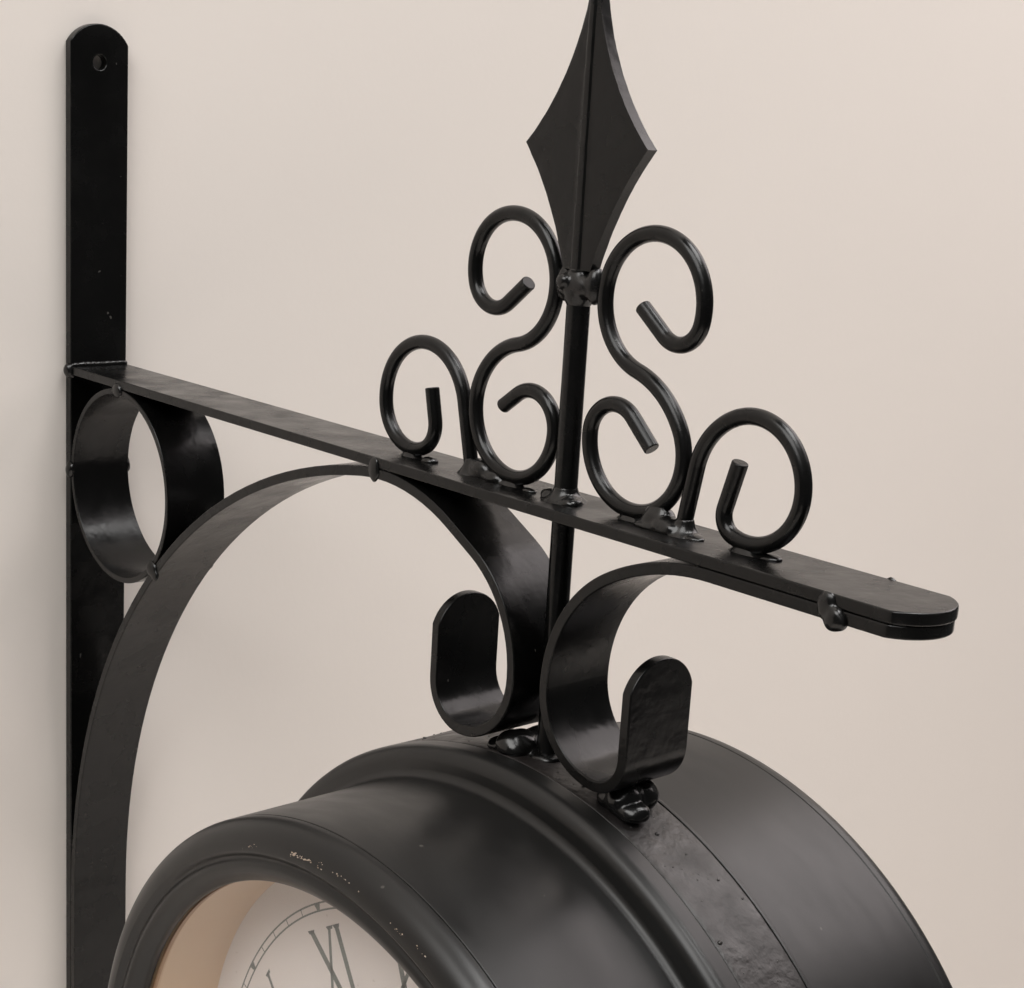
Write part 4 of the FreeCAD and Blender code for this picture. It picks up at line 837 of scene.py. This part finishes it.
def ink_ring(bm, side, inner, outer, steps=240):
    for step in range(steps):
        a, b = 2 * math.pi * step / steps, 2 * math.pi * (step + 1) / steps
        ink_prism(bm, side, [(radius * math.sin(angle), radius * math.cos(angle))
                             for radius, angle in ((inner, a), (outer, a), (outer, b), (inner, b))])
    bmesh.ops.remove_doubles(bm, verts=bm.verts, dist=1e-4)


def glyph_shapes(letter):
    """Convex shapes of a letter as (across, out) corners; its foot is towards the dial's centre."""
    top, foot = NUMERAL_TOP, NUMERAL_FOOT

    def stroke(x_top, x_foot, width):
        return [(x_top - width / 2, top), (x_top + width / 2, top),
                (x_foot + width / 2, foot), (x_foot - width / 2, foot)]

    def serif(x, at_top):
        edge, inside = (top, top - SERIF_HIGH) if at_top else (foot, foot + SERIF_HIGH)
        return [(x - SERIF / 2, edge), (x + SERIF / 2, edge),
                (x + SERIF * SERIF_INNER, inside), (x - SERIF * SERIF_INNER, inside)]

    if letter == "I":
        return [stroke(0, 0, THICK_STROKE), serif(0, True), serif(0, False)]
    reach = CROSS_REACH
    if letter == "V":
        return [stroke(-reach, -0.35, THICK_STROKE * 1.12), stroke(reach, 0.5, THIN_STROKE * 1.1),
                serif(-reach, True), serif(reach, True)]
    return [stroke(-reach, reach, THICK_STROKE * 1.12), stroke(reach, -reach, THIN_STROKE * 1.1),
            serif(-reach, True), serif(reach, True), serif(-reach, False), serif(reach, False)]


def dial_print(side_name):
    """The minute track and the numerals, as thin raised ink."""
    side = SIDES[side_name]
    bm = bmesh.new()
    ink_ring(bm, side, TRACK_OUTER - TRACK_LINE, TRACK_OUTER)
    ink_ring(bm, side, TRACK_INNER, TRACK_INNER + TRACK_LINE)
    turn = math.radians(DIAL_TURN)

    def placed(corners, angle):
        out = (math.sin(angle), math.cos(angle))
        across = (out[1], -out[0])
        return [(out[0] * r + across[0] * t, out[1] * r + across[1] * t) for t, r in corners]

    for minute in range(60):
        angle = turn + 2 * math.pi * minute / 60
        if minute % 5:
            low, high = TRACK_INNER + TICK_GAP, TRACK_OUTER - TICK_GAP
            corners = [(-TICK_HALF, low), (TICK_HALF, low), (TICK_HALF, high), (-TICK_HALF, high)]
        else:
            corners = [(-HOUR_MARK_OUTER, TRACK_OUTER), (HOUR_MARK_OUTER, TRACK_OUTER),
                       (HOUR_MARK_INNER, TRACK_INNER), (-HOUR_MARK_INNER, TRACK_INNER)]
        ink_prism(bm, side, placed(corners, angle))
    for hour, word in enumerate(NUMERALS):
        angle = turn + math.pi * hour / 6
        across = -sum(GLYPH_HALF[letter] for letter in word)
        for letter in word:
            across += GLYPH_HALF[letter]
            for shape in glyph_shapes(letter):
                ink_prism(bm, side, placed([(across + t, r) for t, r in shape], angle))
            across += GLYPH_HALF[letter]
    piece(side_name + "_dial_print", bm, side_name + "_clock", "dial_sheet", "dial_ink", smooth=False)


# ---------------------------------------------------------------- both clocks

SLOT_OF = {
    "lens": "clear_glass", "lens_gasket": "gasket_rubber", "dial": "dial_sheet",
    "dial_backplate": "zinc_plate", "movement_case": "movement_plastic",
    "movement_cover": "movement_plastic", "movement_washer": "gasket_rubber",
    "fixing_washer": "brass_fixing", "fixing_nut": "brass_fixing", "setting_arbor": "gear_plastic",
    "setting_knob": "movement_plastic", "minute_shaft": "gear_plastic", "hour_tube": "gear_plastic",
    "battery": "battery_sleeve", "battery_contacts": "spring_steel", "motor_coil": "coil_copper",
    "circuit_board": "board_green"}


def well_outline():
    """The cone from the dial to the glass, and its flange under the gasket."""
    flange_back = GASKET_BACK - WELL_FLANGE
    return rounded([
        (WELL_FOOT_RADIUS, DIAL_FRONT, 0), (MOUTH_RADIUS, GASKET_BACK, 0.2), (LENS_RADIUS, GASKET_BACK, 0.1),
        (LENS_RADIUS, flange_back, 0.1), (MOUTH_RADIUS + WELL_WALL, flange_back, 0.1),
        (WELL_FOOT_RADIUS + WELL_WALL, DIAL_FRONT, 0)], 4)


def dress_side(side_name):
    """The lathe-turned pieces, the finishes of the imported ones, and the print of one side."""
    side = SIDES[side_name]
    clock = side_name + "_clock"
    drum = lathe(side_name + "_drum_shape", DRUM_OUTLINES[side_name], side, clock, "case_paint", wobble=spun)
    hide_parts(side_name + "_drum")
    rim = lathe(side_name + "_rim_shape", bezel_outline(), side, clock, "case_paint", wobble=spun)
    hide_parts(side_name + "_bezel")
    well = lathe(side_name + "_well", well_outline(), side, clock, "cream_ring")
    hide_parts(side_name + "_well_ring")
    edge_back, edge_front = GASKET_BACK - 1.3, GASKET_BACK + 0.02
    edge = [(MOUTH_RADIUS - 0.1, edge_back), (MOUTH_RADIUS - 0.06, edge_front),
            (MOUTH_RADIUS + 0.5, edge_front), (MOUTH_RADIUS + 0.5, edge_back)]
    lathe(side_name + "_well_edge", edge, side, clock, "cream_ring", "ring_edge")
    for short, slot in SLOT_OF.items():
        mesh = NODES[side_name + "_" + short].data
        mesh.materials.clear()
        mesh.materials.append(MATERIALS[slot])
    softened(side_name + "_minute_hand", side_name + "_minute", 0.12, "hand_black", segments=2)
    softened(side_name + "_hour_hand", side_name + "_hour", 0.12, "hand_black", segments=2)
    softened(side_name + "_hand_cap", side_name + "_minute", 0.4, "hand_black")
    chips(side_name)
    dial_print(side_name)


for each_side in SIDES:
    dress_side(each_side)


# ---------------------------------------------------------------- stage and light

def stage_material(name, colour, strength, one_sided):
    """Plain pale plaster; seen from behind it isn't there."""
    material = bpy.data.materials.new(name)
    material.use_nodes = True
    tree = material.node_tree
    tree.nodes.clear()
    coords = add_node(tree, "TexCoord").outputs["Object"]
    tone = blend_colours(tree, spread(tree, noise_of(tree, coords, 3, 3.0), 0.3, 0.7, 0, 1), colour,
                         tuple(c * 0.97 for c in colour))
    relief = add_node(tree, "Bump", {"Height": noise_of(tree, coords, 260, 3.0), "Distance": strength * MM,
                                     "Strength": 1.0}).outputs[0]
    body = add_node(tree, "BsdfPrincipled", {"Base Color": tone, "Roughness": 0.85, "Normal": relief,
                                             "Specular IOR Level": 0.2}).outputs[0]
    if one_sided:
        back = add_node(tree, "NewGeometry").outputs["Backfacing"]
        clear = add_node(tree, "BsdfTransparent").outputs[0]
        body = add_node(tree, "MixShader", {0: back, 1: body, 2: clear}).outputs[0]
    add_node(tree, "OutputMaterial", {"Surface": body})
    return material


def stage_plane(name, corners, material):
    mesh = bpy.data.meshes.new(name)
    mesh.from_pydata(corners, [], [(0, 1, 2, 3)])
    mesh.materials.append(material)
    obj = bpy.data.objects.new(name, mesh)
    bpy.context.scene.collection.objects.link(obj)


# in metres
FLOOR_Z = -0.62
FLOOR_REACH = 1.3
FLOOR_COLOUR = (0.7, 0.66, 0.62)
WALL_X = -0.0004
WALL_REACH = 3.2
WALL_TOP = 2.2
WALL_COLOUR = (0.76, 0.705, 0.655)
stage_plane("wall", [(WALL_X, -WALL_REACH, FLOOR_Z), (WALL_X, WALL_REACH, FLOOR_Z),
                     (WALL_X, WALL_REACH, WALL_TOP), (WALL_X, -WALL_REACH, WALL_TOP)],
            stage_material("wall_plaster", WALL_COLOUR, 0.05, True))
stage_plane("floor", [(-FLOOR_REACH, -FLOOR_REACH, FLOOR_Z), (FLOOR_REACH, -FLOOR_REACH, FLOOR_Z),
                      (FLOOR_REACH, FLOOR_REACH, FLOOR_Z), (-FLOOR_REACH, FLOOR_REACH, FLOOR_Z)],
            stage_material("floor_plain", FLOOR_COLOUR, 0.02, False))


def lamp(name, place, aim, size, power, colour):
    """A soft rectangular lamp; place, aim and size in metres."""
    data = bpy.data.lights.new(name, "AREA")
    data.shape = "RECTANGLE"
    data.size, data.size_y = size
    data.energy = power
    data.color = colour
    obj = bpy.data.objects.new(name, data)
    place = Vector(place)
    turn = (Vector(aim) - place).to_track_quat("-Z", "Y").to_matrix().to_4x4()
    obj.matrix_world = Matrix.Translation(place) @ turn
    bpy.context.scene.collection.objects.link(obj)


MIDDLE = (0.2, 0, -0.1)
lamp("key", (0.75, -1.35, 1.55), MIDDLE, (1.3, 1.3), 34, (1.0, 0.985, 0.965))
lamp("top", (0.9, 0.3, 1.9), MIDDLE, (1.4, 0.8), 40, (1.0, 0.985, 0.97))
lamp("back", (0.36, 1.2, 0.9), (0.25, 0, -0.15), (1.2, 0.9), 12, (1.0, 0.91, 0.9))

WORLD_STRENGTH = 0.07
world = bpy.data.worlds.new("studio")
world.use_nodes = True
sky = world.node_tree.nodes["Background"].inputs
sky["Color"].default_value = (1.0, 0.99, 0.98, 1)
sky["Strength"].default_value = WORLD_STRENGTH
bpy.context.scene.world = world
bpy.context.scene.view_settings.view_transform = "Standard"
